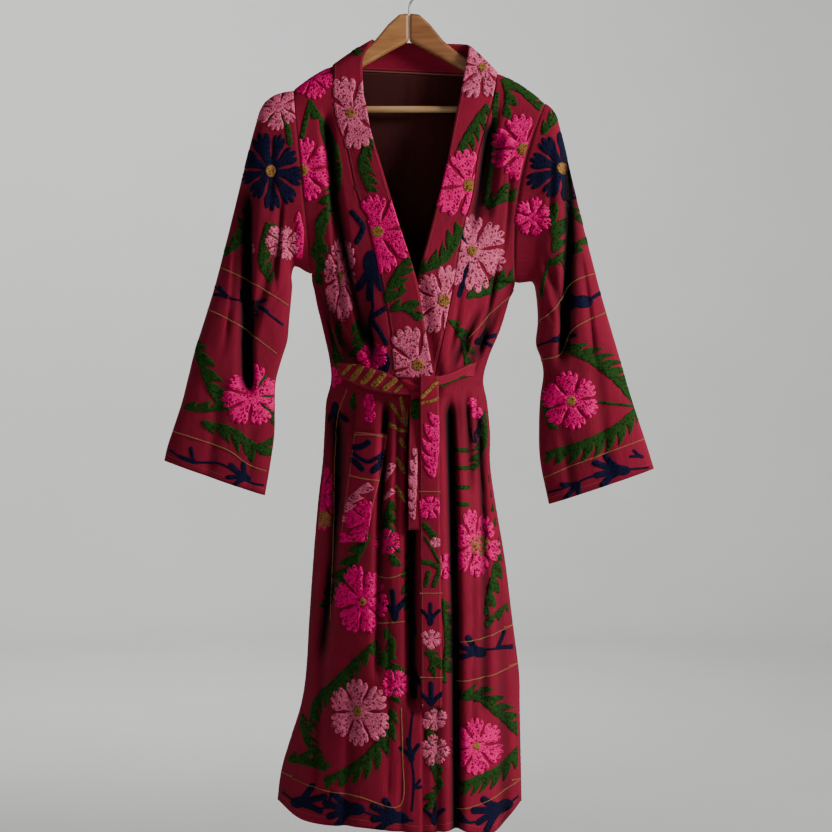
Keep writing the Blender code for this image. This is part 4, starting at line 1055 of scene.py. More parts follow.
@dataclass(frozen=True)
class WoodFinish:
    """Waxed beech, its grain along the arm."""

    name: str
    light: tuple[float, float, float]
    dark: tuple[float, float, float]
    grain: tuple[float, float, float] = (14.0, 160.0, 150.0)
    cloud: tuple[float, float, float] = (12.0, 20.0, 20.0)
    rough: float = 0.36
    wax: float = 0.25
    bump: float = 0.00012

    def build(self) -> bpy.types.Material:
        """Make the material.

        Returns:
            The material.
        """
        paint = Paint(self.name, self.rough)
        paint.shader.inputs["Coat Weight"].default_value = self.wax
        paint.shader.inputs["Coat Roughness"].default_value = 0.25
        grain = paint.noise(paint.stretch("Object", self.grain), 1.0, 5.0)
        cloud = paint.noise(paint.stretch("Object", self.cloud), 1.0, 2.0)
        tone = paint.math("ADD", paint.math("MULTIPLY", grain, 0.8), paint.math("MULTIPLY", cloud, 0.4))
        colour = paint.blend(self.dark, self.light, paint.ramp(tone, 0.42, 0.78))
        return paint.finish(colour, grain, self.bump)


@dataclass(frozen=True)
class SteelFinish:
    """Drawn steel wire, slightly dulled."""

    name: str = "hook_wire"
    light: tuple[float, float, float] = (0.60, 0.59, 0.57)
    dark: tuple[float, float, float] = (0.36, 0.35, 0.34)
    drawn: tuple[float, float, float] = (300.0, 300.0, 60.0)
    rough: float = 0.30
    bump: float = 0.00005

    def build(self) -> bpy.types.Material:
        """Make the material.

        Returns:
            The material.
        """
        paint = Paint(self.name, self.rough, metal=1.0)
        scratch = paint.noise(paint.stretch("Object", self.drawn), 1.0, 3.0)
        tone = paint.ramp(scratch, 0.3, 0.7)
        return paint.finish(paint.blend(self.dark, self.light, tone), scratch, self.bump)


@dataclass(frozen=True)
class StageFinish:
    """Pale matt paint for the studio."""

    name: str = "studio_paint"
    light: tuple[float, float, float] = (0.67, 0.67, 0.66)
    dark: tuple[float, float, float] = (0.62, 0.62, 0.61)
    speck: tuple[float, float, float] = (3.0, 3.0, 3.0)
    rough: float = 0.9
    bump: float = 0.0004

    def build(self) -> bpy.types.Material:
        """Make the material.

        Returns:
            The material.
        """
        paint = Paint(self.name, self.rough)
        speck = paint.noise(paint.stretch("Object", self.speck), 1.0, 4.0)
        return paint.finish(paint.blend(self.dark, self.light, speck), speck, self.bump)


class Finishes:
    """Every material of the scene, made once."""

    def __init__(self) -> None:
        """Make every material."""
        self.cloth = ClothFinish("maroon_cotton", (0.278, 0.0050, 0.0300), (0.140, 0.0025, 0.0152)).build()
        self.band = ClothFinish("band_cotton", (0.298, 0.0056, 0.0330), (0.156, 0.0028, 0.0172)).build()
        self.lining = ClothFinish("lining_cotton_brown", (0.058, 0.0070, 0.0066), (0.034, 0.0042, 0.0040),
                                  sheen=0.05).build()
        self.piping = ClothFinish("piping_cord_cotton", (0.26, 0.115, 0.075), (0.15, 0.055, 0.038)).build()
        self.thread = {shade: ThreadFinish(shade).build() for shade in Shade}
        self.line_thread = CordFinish("line_thread_tan", (0.34, 0.165, 0.050), (0.19, 0.080, 0.022)).build()
        self.seam_thread = CordFinish("seam_thread_maroon", (0.120, 0.0030, 0.0110),
                                      (0.060, 0.0015, 0.006)).build()
        self.top_thread = CordFinish("top_thread_rose", (0.36, 0.085, 0.075), (0.20, 0.036, 0.036)).build()
        # The arms are one beech: the right arm's lighter colour is painted light and the left arm's darker
        # colour is painted shade.
        self.wood_painted_lit = WoodFinish("beech_right_painted_lit", (0.50, 0.235, 0.085), (0.33, 0.125, 0.038)).build()
        self.wood_painted_shade = WoodFinish("beech_left_painted_shade", (0.36, 0.150, 0.052), (0.22, 0.080, 0.026)).build()
        self.wood_bar = WoodFinish("beech_bar", (0.55, 0.34, 0.165), (0.42, 0.225, 0.095)).build()
        self.steel = SteelFinish().build()


def settle(made: bpy.types.Object) -> bpy.types.Object:
    """Link a finished piece, and let it ride on the coat's only body.

    Args:
        made: the piece.

    Returns:
        The same piece.
    """
    bpy.context.scene.collection.objects.link(made)
    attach(made, "root")
    return made


def shade_folds(mesh: bpy.types.Mesh, where: Place) -> None:
    """Store on every point how deep in a fold it lies, which the materials turn into painted shade.

    Args:
        mesh: the mesh.
        where: whose folds it follows.
    """
    hollow = mesh.attributes.new("hollow", "FLOAT", "POINT")
    hollow.data.foreach_set("value", [FORM.hollow(where, vert.co.x, vert.co.z) for vert in mesh.vertices])


@dataclass
class Sheet:
    """A cloth wall from rows of points on its middle surface."""

    name: str
    rows: Grid
    thick: float
    finish: bpy.types.Material
    node: str
    slot: str = "embroidered_cotton"
    closed: bool = False
    where: Place = Place.PLAIN
    made: bpy.types.Object | None = None

    def lengths(self) -> tuple[list[list[float]], list[list[float]]]:
        """Distances along the cloth.

        Returns:
            Distances across from the middle column, and down from the first row.
        """
        middle = len(self.rows[0]) // 2
        across, down = [], []
        for j, row in enumerate(self.rows):
            run = [0.0]
            for first, last in zip(row, row[1:]):
                run.append(run[-1] + (last - first).length)
            across.append([value - run[middle] for value in run])
            above = self.rows[j - 1] if j else row
            base = down[-1] if down else [0.0] * len(row)
            down.append([base[i] + (row[i] - above[i]).length for i in range(len(row))])
        return across, down

    def cut(self) -> tuple[float, float, float]:
        """Measure the flat piece on its own surface.

        Returns:
            Its width, length and area.
        """
        across, down = self.lengths()
        width = max(row[-1] - row[0] for row in across)
        if self.closed:
            width += max((row[0] - row[-1]).length for row in self.rows)
        length = max(down[-1])
        area = 0.0
        for low, high in zip(self.rows, self.rows[1:]):
            for i in range(len(low) - 1 + self.closed):
                j = (i + 1) % len(low)
                area += ((high[i] - low[j]).cross(high[j] - low[i])).length / 2
        return width, length, area

    def build(self) -> bpy.types.Object:
        """Returns:
            The shell.
        """
        width = len(self.rows[0])
        across, down = self.lengths()
        shape = bmesh.new()
        layer = shape.loops.layers.uv.new("UVMap")
        grid = [[shape.verts.new(point) for point in row] for row in self.rows]
        for j in range(len(grid) - 1):
            for i in range(width - 1 + self.closed):
                k = (i + 1) % width
                face = shape.faces.new((grid[j][i], grid[j][k], grid[j + 1][k], grid[j + 1][i]))
                wrap = (self.rows[j][0] - self.rows[j][-1]).length if k == 0 else 0.0
                for loop, (a, b) in zip(face.loops, ((j, i), (j, k), (j + 1, k), (j + 1, i))):
                    extra = across[a][-1] + wrap - across[a][0] if (k == 0 and b == 0) else 0.0
                    loop[layer].uv = (across[a][b] + extra, -down[a][b])
        bmesh.ops.recalc_face_normals(shape, faces=shape.faces)
        mesh = bpy.data.meshes.new(self.name)
        shape.to_mesh(mesh)
        shape.free()
        mesh.shade_smooth()
        shade_folds(mesh, self.where)
        mesh.materials.append(self.finish)
        self.made = settle(bpy.data.objects.new(self.name, mesh))
        wall = self.made.modifiers.new("wall", "SOLIDIFY")
        wall.thickness = self.thick
        wall.offset = 0.0
        wall.use_even_offset = False
        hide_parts(self.node)
        flat_width, flat_length, area = self.cut()
        area = min(area, 0.999 * flat_width * flat_length)
        LOG.info("%s: cut %.3f x %.3f m, %.4f m2", self.name, flat_width, flat_length, area)
        return self.made


def level_rows(first_z: float) -> list[float]:
    """Heights from below the underarm to the hem, through the form's own levels.

    Args:
        first_z: the underarm's height.

    Returns:
        The heights, from the top down.
    """
    heights = []
    above = first_z
    for level in FRONT_LEVELS:
        heights += spread(above, level, ROW_STEP)[1:]
        above = level
    return heights


@dataclass
class BodyPanels:
    """The back, the two fronts and the piece of lining that shows in the neck."""

    finishes: Finishes
    armhole_step: float = 0.16
    front_width: float = 0.152
    back_width: float = 0.345
    lining_top: tuple[float, float] = (0.20, 0.76)
    lining_end: tuple[float, float] = (0.30, 0.70)
    lining_first_step: float = 0.55
    lining_heights: tuple[float, float] = (-0.488, -0.545)
    lining_columns: int = 40
    lining_clear: float = 0.0009
    lining_crease: float = 0.0022
    lining_seam: float = 0.0012
    lining_seam_x: float = 0.002
    lining_seam_width: float = 0.0035
    back: Sheet | None = None
    front_right: Sheet | None = None
    front_left: Sheet | None = None

    def row_keys(self, side_z: float) -> list[tuple[float, float]]:
        """Where every row of a panel lies.

        Args:
            side_z: height of the underarm.

        Returns:
            Pairs of armhole step and height.
        """
        steps = spread(0.0, ARMHOLE_STEPS, self.armhole_step)
        keys = [(step, 0.0) for step in steps]
        return keys + [(ARMHOLE_STEPS + 1, z) for z in level_rows(side_z)]

    def front(self, name: str, side: Side) -> Sheet:
        """Make one front.

        Args:
            name: its node.
            side: the side that it is on.

        Returns:
            The front.
        """
        parts = spread(0.0, 1.0, COLUMN_STEP / self.front_width)
        keys = self.row_keys(side.under_z)
        rows = [[FORM.front_point(side, step, z, u) for u in parts] for step, z in keys]
        sheet = Sheet(name + "_shell", rows, CLOTH, self.finishes.cloth, name, where=Place.FRONT)
        sheet.build()
        return sheet

    def make_back(self) -> Sheet:
        """Make the back.

        Returns:
            The back.
        """
        parts = spread(0.0, 1.0, COLUMN_STEP / self.back_width)
        keys = self.row_keys(RIGHT.under_z)
        rows = [[FORM.back_point(step, z, s) for s in parts] for step, z in keys]
        sheet = Sheet("back_shell", rows, CLOTH, self.finishes.cloth, "back", where=Place.BACK)
        sheet.build()
        return sheet

    def make_lining(self) -> None:
        """Make the lining in the neck, with a loose crease or two and its seam down the middle."""
        rows = []
        keys = [(step, 0.0) for step in spread(self.lining_first_step, ARMHOLE_STEPS, self.armhole_step)]
        keys += [(ARMHOLE_STEPS + 1, z) for z in spread(*self.lining_heights, ROW_STEP)]
        for number, (step, z) in enumerate(keys):
            part = number / (len(keys) - 1)
            row = []
            right, left = (mix(top, end, part) for top, end in zip(self.lining_top, self.lining_end))
            for i in range(self.lining_columns + 1):
                s = mix(right, left, i / self.lining_columns)
                point = FORM.back_point(step, z, s, creases=False)
                point.y -= CLOTH / 2 + LINING / 2 + self.lining_clear
                point.y -= self.lining_crease * abs(noise.noise(Vector((point.x * 15, point.z * 6, 3.0))))
                off = (point.x - self.lining_seam_x) / self.lining_seam_width
                point.y -= self.lining_seam * math.exp(-off ** 2)
                row.append(point)
            rows.append(row)
        Sheet("back_lining_shell", rows, LINING, self.finishes.lining, "back_lining", "lining_cotton").build()

    def build(self) -> None:
        """Make every panel."""
        self.back = self.make_back()
        self.front_right = self.front("front_right", RIGHT)
        self.front_left = self.front("front_left", LEFT)
        self.make_lining()


@dataclass
class Sleeves:
    """The two wide sleeves, open tubes sewn into the armholes."""

    finishes: Finishes
    around: int = 104
    ring_step: float = 0.15
    folds_front: float = 1.25
    folds_back: float = 0.8
    crinkle: float = 1.4
    corner_room: float = 0.0016
    corner_steps: float = 0.8
    first_rings: int = 3
    edge_fade: float = 0.5
    right: Sheet | None = None
    left: Sheet | None = None

    def first_row(self, side: Side) -> list[Vector]:
        """The ring on the armhole seam.

        Args:
            side: the sleeve's side.

        Returns:
            The ring's points, from the shoulder tip round the front.
        """
        row = []
        for i in range(self.around):
            step = 2 * ARMHOLE_STEPS * i / self.around
            face = "front" if step <= ARMHOLE_STEPS else "back"
            step = min(step, 2 * ARMHOLE_STEPS - step)
            x, _, z = FORM.armhole(side, step, face)
            reach = ARMHOLE_FRONT if face == "front" else ARMHOLE_BACK
            depth = reach * max(math.sin(math.pi * step / ARMHOLE_STEPS), 0.0) ** ARMHOLE_ROUND
            turn = 1 - smooth(min(step, ARMHOLE_STEPS - step) / self.corner_steps)
            out = SEAM_GAP + self.corner_room * turn
            row.append(Vector((x + side.sign * out, -depth if face == "front" else depth, z)))
        return row

    def ring(self, curves: dict[str, Curve], place: float) -> list[Vector]:
        """One ring of a sleeve.

        Args:
            curves: the ring table's columns, read by ring number.
            place: the ring number, with parts of a ring.

        Returns:
            The ring's points, from the outer edge round the front.
        """
        ring = Ring(*(curves[name](place) for name in Ring._fields))
        row = []
        for i in range(self.around):
            angle = 2 * math.pi * i / self.around
            part = (1 - math.cos(angle)) / 2
            x = mix(ring.outer_x, ring.inner_x, part)
            z = mix(ring.outer_z, ring.inner_z, part)
            wave = math.sin(angle)
            depth = (ring.front if wave >= 0 else ring.back) * abs(wave) ** ARMHOLE_ROUND
            fade = smooth(place / self.first_rings) * smooth(abs(wave) / self.edge_fade)
            if wave > 0:
                depth -= self.folds_front * fade * FORM.fold_depth(SLEEVE_FOLDS, x, z)
                depth -= fade * FORM.fold_depth(SLEEVE_CREASES, x, z)
            else:
                depth -= self.folds_back * fade * FORM.fold_depth(SLEEVE_CREASES, x, z)
            seed = SLEEVE_FRONT_SEED if wave > 0 else SLEEVE_BACK_SEED
            depth -= self.crinkle * fade * FORM.crinkle(x, z, seed)
            row.append(Vector((x, -depth if wave >= 0 else depth, z)))
        return row

    def sleeve(self, name: str, side: Side, rings: Sequence[Ring]) -> Sheet:
        """Make one sleeve.

        Args:
            name: its node.
            side: its side.
            rings: its sections, from the armhole to the cuff.

        Returns:
            The sleeve.
        """
        curves = {column: Curve(rings, None, column) for column in Ring._fields}
        first = self.first_row(side)
        start = self.ring(curves, 0.0)
        rows = [[a.lerp(b, part) for a, b in zip(first, start)] for part in (0.0, 0.33, 0.67)]
        rows += [self.ring(curves, place) for place in spread(0.0, len(rings) - 1, self.ring_step)]
        sheet = Sheet(name + "_shell", rows, CLOTH, self.finishes.cloth, name, closed=True,
                      where=Place.SLEEVE)
        sheet.build()
        return sheet

    def build(self) -> None:
        """Make both sleeves."""
        self.right = self.sleeve("sleeve_right", RIGHT, SLEEVE_RIGHT)
        self.left = self.sleeve("sleeve_left", LEFT, SLEEVE_LEFT)


@dataclass
class CollarBand:
    """The band that edges both fronts and runs behind the neck, with its piping."""

    finishes: Finishes
    columns: int = 14
    end_clear: float = 0.0025
    row_step: float = 0.005
    turn_rows: int = 5
    bow: float = 0.0012
    free_proud: float = 0.002
    crinkle: float = 0.8
    puff: float = 0.0016
    piping_radius: float = 0.0012
    piping_run: tuple[float, float] = (0.20, 0.76)
    piping_step: float = 0.008
    piping_clear: float = 0.0010
    piping_drop: float = 0.0012
    right: Sheet | None = None
    left: Sheet | None = None
    neck: Sheet | None = None

    def front_row(self, side: Side, z: float) -> list[Vector]:
        """One level row of a band on the front.

        Args:
            side: the band's side.
            z: height.

        Returns:
            The row's points, from the sewn edge to the free one.
        """
        seam, free = (FORM.seam_right, FORM.free_right) if side.sign < 0 else (FORM.seam_left, FORM.free_left)
        sewn_x = seam(z) - side.sign * SEAM_GAP
        free_x = free(z)
        part = (side.neck_z - z) / (side.neck_z - side.under_z)
        top = FORM.neck_depth(min(part, 1.0))
        sewn = mix(top, FORM.body_depth(sewn_x, z, "front"), smooth(part * 2 - 1))
        free_low = FORM.body_depth(free_x, z, "front")
        free_depth = mix(top + self.free_proud, free_low, smooth(part * 2 - 1))
        free_depth += BAND_PROUD * smooth(part * 3)
        row = []
        for i in range(self.columns + 1):
            c = i / self.columns
            x = mix(sewn_x, free_x, c)
            depth = mix(sewn, free_depth, c) + self.bow * math.sin(math.pi * c)
            depth += self.crinkle * FORM.crinkle(x, z, BAND_SEED) * math.sin(math.pi * c)
            if side.sign > 0:
                depth -= FORM.under_drop(x, z)
            row.append(Vector((x, -depth, z)))
        return row

    def turn_row(self, turn: Turn, puff: float) -> list[Vector]:
        """One row of a band where it turns round the neck.

        Args:
            turn: the section.
            puff: how far the middle rises.

        Returns:
            The row's points, from the sewn edge to the free one.
        """
        sewn = Vector((turn.sewn_x, turn.sewn_y, turn.sewn_z))
        free = Vector((turn.free_x, turn.free_y, turn.free_z))
        row = []
        for i in range(self.columns + 1):
            point = sewn.lerp(free, i / self.columns)
            point.z += puff * math.sin(math.pi * i / self.columns)
            row.append(point)
        return row

    @staticmethod
    def fill(rows: Grid, count: int) -> Grid:
        """Put rows on a smooth curve through the given rows.

        Args:
            rows: the given rows.
            count: new rows to each gap.

        Returns:
            All the rows.
        """
        filled = []
        for j in range(len(rows) - 1):
            near = [rows[max(j - 1, 0)], rows[j], rows[j + 1], rows[min(j + 2, len(rows) - 1)]]
            for k in range(count):
                t = k / count
                weights = ((-t + 2 * t * t - t ** 3) / 2, (2 - 5 * t * t + 3 * t ** 3) / 2,
                           (t + 4 * t * t - 3 * t ** 3) / 2, (t ** 3 - t * t) / 2)
                filled.append([sum((p * w for p, w in zip(points, weights)), Vector())
                               for points in zip(*near)])
        return filled + [rows[-1]]

    def band(self, name: str, side: Side, turns: Sequence[Turn]) -> Sheet:
        """Make the band of one front.

        Args:
            name: its node.
            side: its side.
            turns: its sections round the neck.

        Returns:
            The band.
        """
        rows = [self.turn_row(turn, self.puff * (1 - i / 3)) for i, turn in enumerate(turns)]
        first = mix(side.neck_z, side.under_z, (1 - math.cos(math.pi * 2 / ARMHOLE_STEPS)) / 2)
        start = self.front_row(side, first)
        rows = self.fill(rows + [start], self.turn_rows)[:-1]
        rows += [self.front_row(side, z) for z in spread(first, WAIST_Z + self.end_clear, self.row_step)]
        sheet = Sheet(name + "_shell", rows, BAND, self.finishes.band, name)
        sheet.build()
        return sheet

    def make_piping(self) -> None:
        """Make the cord between the neck band and the lining."""
        points = []
        inward = CLOTH / 2 + self.piping_radius + self.piping_clear
        for s in spread(*self.piping_run, self.piping_step):
            point = FORM.back_point(0, 0.0, s)
            points.append(Vector((point.x, point.y - inward, point.z - self.piping_drop)))
        made = tube("neck_piping_cord", points, self.piping_radius, self.finishes.piping)
        settle(made)
        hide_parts("neck_piping")

    def build(self) -> None:
        """Make every piece of the band."""
        self.right = self.band("band_right", RIGHT, TURN_RIGHT)
        self.left = self.band("band_left", LEFT, TURN_LEFT)
        rows = self.fill([self.turn_row(turn, 0.0) for turn in BACK_TURN], self.turn_rows)
        self.neck = Sheet("band_neck_shell", rows, BAND, self.finishes.band, "band_neck")
        self.neck.build()
        self.make_piping()


def tube(name: str, points: Sequence[Vector], radius: float, finish: bpy.types.Material) -> bpy.types.Object:
    """Make a round cord along points, as a mesh with its length in its UV map.

    Args:
        name: its name.
        points: its middle line.
        radius: half its thickness.
        finish: its material.

    Returns:
        The cord, not linked yet.
    """
    sides = CORD_SIDES
    shape = bmesh.new()
    layer = shape.loops.layers.uv.new("UVMap")
    rings, runs, run = [], [], 0.0
    for i, point in enumerate(points):
        ahead = (points[min(i + 1, len(points) - 1)] - points[max(i - 1, 0)]).normalized()
        across = ahead.cross(Vector((0, 0, 1))).normalized()
        up = across.cross(ahead)
        run += (point - points[i - 1]).length if i else 0.0
        runs.append(run)
        rings.append([shape.verts.new(point + radius * (across * math.cos(a) + up * math.sin(a)))
                      for a in (2 * math.pi * k / sides for k in range(sides))])
    for j in range(len(rings) - 1):
        for k in range(sides):
            m = (k + 1) % sides
            face = shape.faces.new((rings[j][k], rings[j][m], rings[j + 1][m], rings[j + 1][k]))
            for loop, (a, b) in zip(face.loops, ((j, k), (j, k + 1), (j + 1, k + 1), (j + 1, k))):
                loop[layer].uv = (2 * math.pi * radius * b / sides, runs[a])
    shape.faces.new(rings[0])
    shape.faces.new(rings[-1])
    bmesh.ops.recalc_face_normals(shape, faces=shape.faces)
    mesh = bpy.data.meshes.new(name)
    shape.to_mesh(mesh)
    shape.free()
    mesh.shade_smooth()
    mesh.materials.append(finish)
    return bpy.data.objects.new(name, mesh)


@dataclass
class Pocket:
    """The patch pocket on the right front."""

    finishes: Finishes
    row_share: float = 0.03
    column_share: float = 0.07
    inner_curve: float = 0.4
    sheet: Sheet | None = None

    def build(self) -> None:
        """Make the pocket."""
        rows = []
        for v in spread(0.0, 1.0, self.row_share):
            first_x, first_z = mix(POCKET_TOP[0], POCKET_END[0], v), mix(POCKET_TOP[1], POCKET_END[1], v)
            last_x = mix(POCKET_TOP[2], POCKET_END[2], mix(v, smooth(v), self.inner_curve))
            last_z = mix(POCKET_TOP[3], POCKET_END[3], v)
            row = []
            for u in spread(0.0, 1.0, self.column_share):
                x, z = mix(first_x, last_x, u), mix(first_z, last_z, u)
                trough = POCKET_FOLLOW * FORM.front_trough(x, z) + FORM.crinkle(x, z, FRONT_SEED)
                depth = FORM.body_depth(x, z, "front") - trough + POCKET_RAISE
                row.append(Vector((x, -depth, z)))
            rows.append(row)
        self.sheet = Sheet("pocket_shell", rows, POCKET_CLOTH, self.finishes.band, "pocket")
        self.sheet.build()


@dataclass
class TieBelt:
    """The tie belt: two stretches in front, one behind, the knot and the two ends."""

    finishes: Finishes
    across: int = 9
    pleat_depth: float = 0.0011
    front_step: float = 0.0035
    back_z: float = -0.633
    back_half: float = 0.017
    back_raised: float = 0.0045
    back_columns: int = 90
    end_step: float = 0.005
    end_bow: float = 0.0010
    end_turn: float = 21.0
    end_cloth: float = 0.8 * BELT
    right: Sheet | None = None
    left: Sheet | None = None
    back: Sheet | None = None
    tail: Sheet | None = None
    under: Sheet | None = None

    def pleat(self, along: float, j: int, seed: float) -> float:
        """Small lengthwise creases of a belt that is drawn tight."""
        return self.pleat_depth * noise.noise(Vector((along * 9, j * 0.9, seed)))

    def front(self, name: str, table: Sequence[BeltRow]) -> Sheet:
        """Make the belt on one front, from where it comes out under the cloth.

        Args:
            name: its node.
            table: its sections, from the side to the knot.

        Returns:
            The stretch.
        """
        columns = {column: Curve(table, "x", column) for column in ("z", "half", "raised")}
        middle = FORM.centre_x(WAIST_Z)
        side_x = FORM.side_left(WAIST_Z) if table[0].x > 0 else FORM.side_right(WAIST_Z)
        edge = BELT_LEFT_UNDER if table[0].x > 0 else BELT_RIGHT_UNDER
        rows = []
        for x in spread(table[0].x, table[-1].x, self.front_step):
            s = (x - middle) / abs(side_x - middle)
            under = (abs(x) - edge) / BELT_UNDER_RUN
            if under > 1:
                continue
            row = []
            for j in range(self.across + 1):
                z = columns["z"](x) + columns["half"](x) * (1 - 2 * j / self.across)
                raised = columns["raised"](x) + self.pleat(x, j, 31.0) - BELT_UNDER_DEPTH * smooth(under)
                row.append(FORM.belt_point(s, z, "front", raised))
            rows.append(row)
        sheet = Sheet(name + "_shell", rows, BELT, self.finishes.band, name)
        sheet.build()
        return sheet

    def make_back(self) -> Sheet:
        """Make the belt across the back.

        Returns:
            The stretch.
        """
        rows = []
        for i in range(self.back_columns + 1):
            s = -BELT_BACK_REACH * math.cos(math.pi * i / self.back_columns)
            row = []
            for j in range(self.across + 1):
                z = self.back_z + self.back_half * (1 - 2 * j / self.across)
                raised = self.back_raised + (1 - s * s) * self.pleat(s * 0.12, j, 37.0)
                row.append(FORM.belt_point(s, z, "back", raised))
            rows.append(row)
        sheet = Sheet("belt_back_shell", rows, BELT, self.finishes.band, "belt_back")
        sheet.build()
        return sheet

    def end(self, name: str, table: Sequence[BeltRow], seed: float) -> Sheet:
        """Make one hanging end of the belt, with a slight turn in it.

        Args:
            name: its node.
            table: its sections, from the knot down.
            seed: where its turn starts.

        Returns:
            The end.
        """
        columns = {column: Curve(table, "z", column) for column in ("x", "half", "raised")}
        rows = []
        for z in spread(table[0].z, table[-1].z, self.end_step):
            base = FORM.body_depth(columns["x"](z), z, "front") + columns["raised"](z)
            row = []
            for j in range(self.across + 1):
                c = 2 * j / self.across - 1
                bow = self.end_bow * (1 - c * c + c * math.sin(z * self.end_turn + seed))
                row.append(Vector((columns["x"](z) + columns["half"](z) * c, -base - bow, z)))
            rows.append(row)
        sheet = Sheet(name + "_shell", rows, self.end_cloth, self.finishes.band, name)
        sheet.build()
        return sheet

    @staticmethod
    def knot_point(corner: Vector) -> Vector:
        """Move a point of a cube onto the knot.

        Args:
            corner: the cube's point, from -1 to 1 along each axis.

        Returns:
            The knot's point, measured from its centre.
        """
        pinch = 1 - KNOT_PINCH * math.exp(-((corner.x + 0.1) / 0.5) ** 2)
        round_off = 1 - KNOT_CORNER * corner.x ** 2 * corner.z ** 2
        crown = 1 - KNOT_CROWN * max(abs(corner.x), abs(corner.z)) ** 4
        fan = math.atan2(corner.z * 0.7, 1.25 - corner.x)
        ridge = 0.5 + 0.5 * math.cos(fan * KNOT_PLEATS + 0.8)
        taper = 1.0
        if corner.x < 0:
            taper -= KNOT_TAPER * smooth((KNOT_TAPER_TOP - corner.z) / KNOT_TAPER_RUN)
        x = corner.x * KNOT_SIZE[0] / 2 * round_off * taper
        y = corner.y * KNOT_SIZE[1] / 2 * crown
        z = corner.z * KNOT_SIZE[2] / 2 * pinch * round_off
        if corner.y < 0:
            y += KNOT_PLEAT_DEPTH * ridge * min(1.0, 2 - 2 * abs(corner.z) ** 3)
            y += KNOT_SLOPE * max(0.0, -corner.x) ** 2
        return Vector((x, y, z))

    def make_knot(self) -> None:
        """Make the knot: a soft block with the belt's folds drawn into it."""
        centre = Vector((KNOT_CENTRE[0], 0, KNOT_CENTRE[1]))
        centre.y = -FORM.body_depth(centre.x, centre.z, "front") - KNOT_RAISE - KNOT_SIZE[1] / 2
        shape = bmesh.new()
        bmesh.ops.create_cube(shape, size=1.0)
        bmesh.ops.subdivide_edges(shape, edges=shape.edges, cuts=KNOT_CUTS, use_grid_fill=True)
        for vert in shape.verts:
            vert.co = centre + self.knot_point(vert.co * 2)
        bmesh.ops.recalc_face_normals(shape, faces=shape.faces)
        layer = shape.loops.layers.uv.new("UVMap")
        for face in shape.faces:
            for loop in face.loops:
                loop[layer].uv = (loop.vert.co.x, loop.vert.co.z)
        mesh = bpy.data.meshes.new("belt_knot_wrap")
        shape.to_mesh(mesh)
        shape.free()
        mesh.shade_smooth()
        mesh.materials.append(self.finishes.band)
        made = settle(bpy.data.objects.new("belt_knot_wrap", mesh))
        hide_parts("belt_knot")

    def build(self) -> None:
        """Make every stretch of the belt."""
        self.right = self.front("belt_right", BELT_RIGHT)
        self.left = self.front("belt_left", BELT_LEFT)
        self.back = self.make_back()
        self.tail = self.end("belt_tail", TAIL, 0.4)
        self.under = self.end("belt_tail_under", TAIL_UNDER, 2.0)
        self.make_knot()


@dataclass
class Hanger:
    """The wooden hanger: its own solids, with their finishes."""

    finishes: Finishes

    def build(self) -> None:
        """Dress the arms, the bar and the hook."""
        # The two arms differ only by painted light on the right arm and painted shade on the left.
        dress = {
            "hanger_arm_right": self.finishes.wood_painted_lit,
            "hanger_arm_left": self.finishes.wood_painted_shade,
            "hanger_bar": self.finishes.wood_bar,
            "hanger_hook": self.finishes.steel,
        }
        for node, finish in dress.items():
            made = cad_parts[node]
            if not made.material_slots:
                made.data.materials.append(finish)
            for place in made.material_slots:
                place.material = finish
            LOG.info("%s: dressed", node)


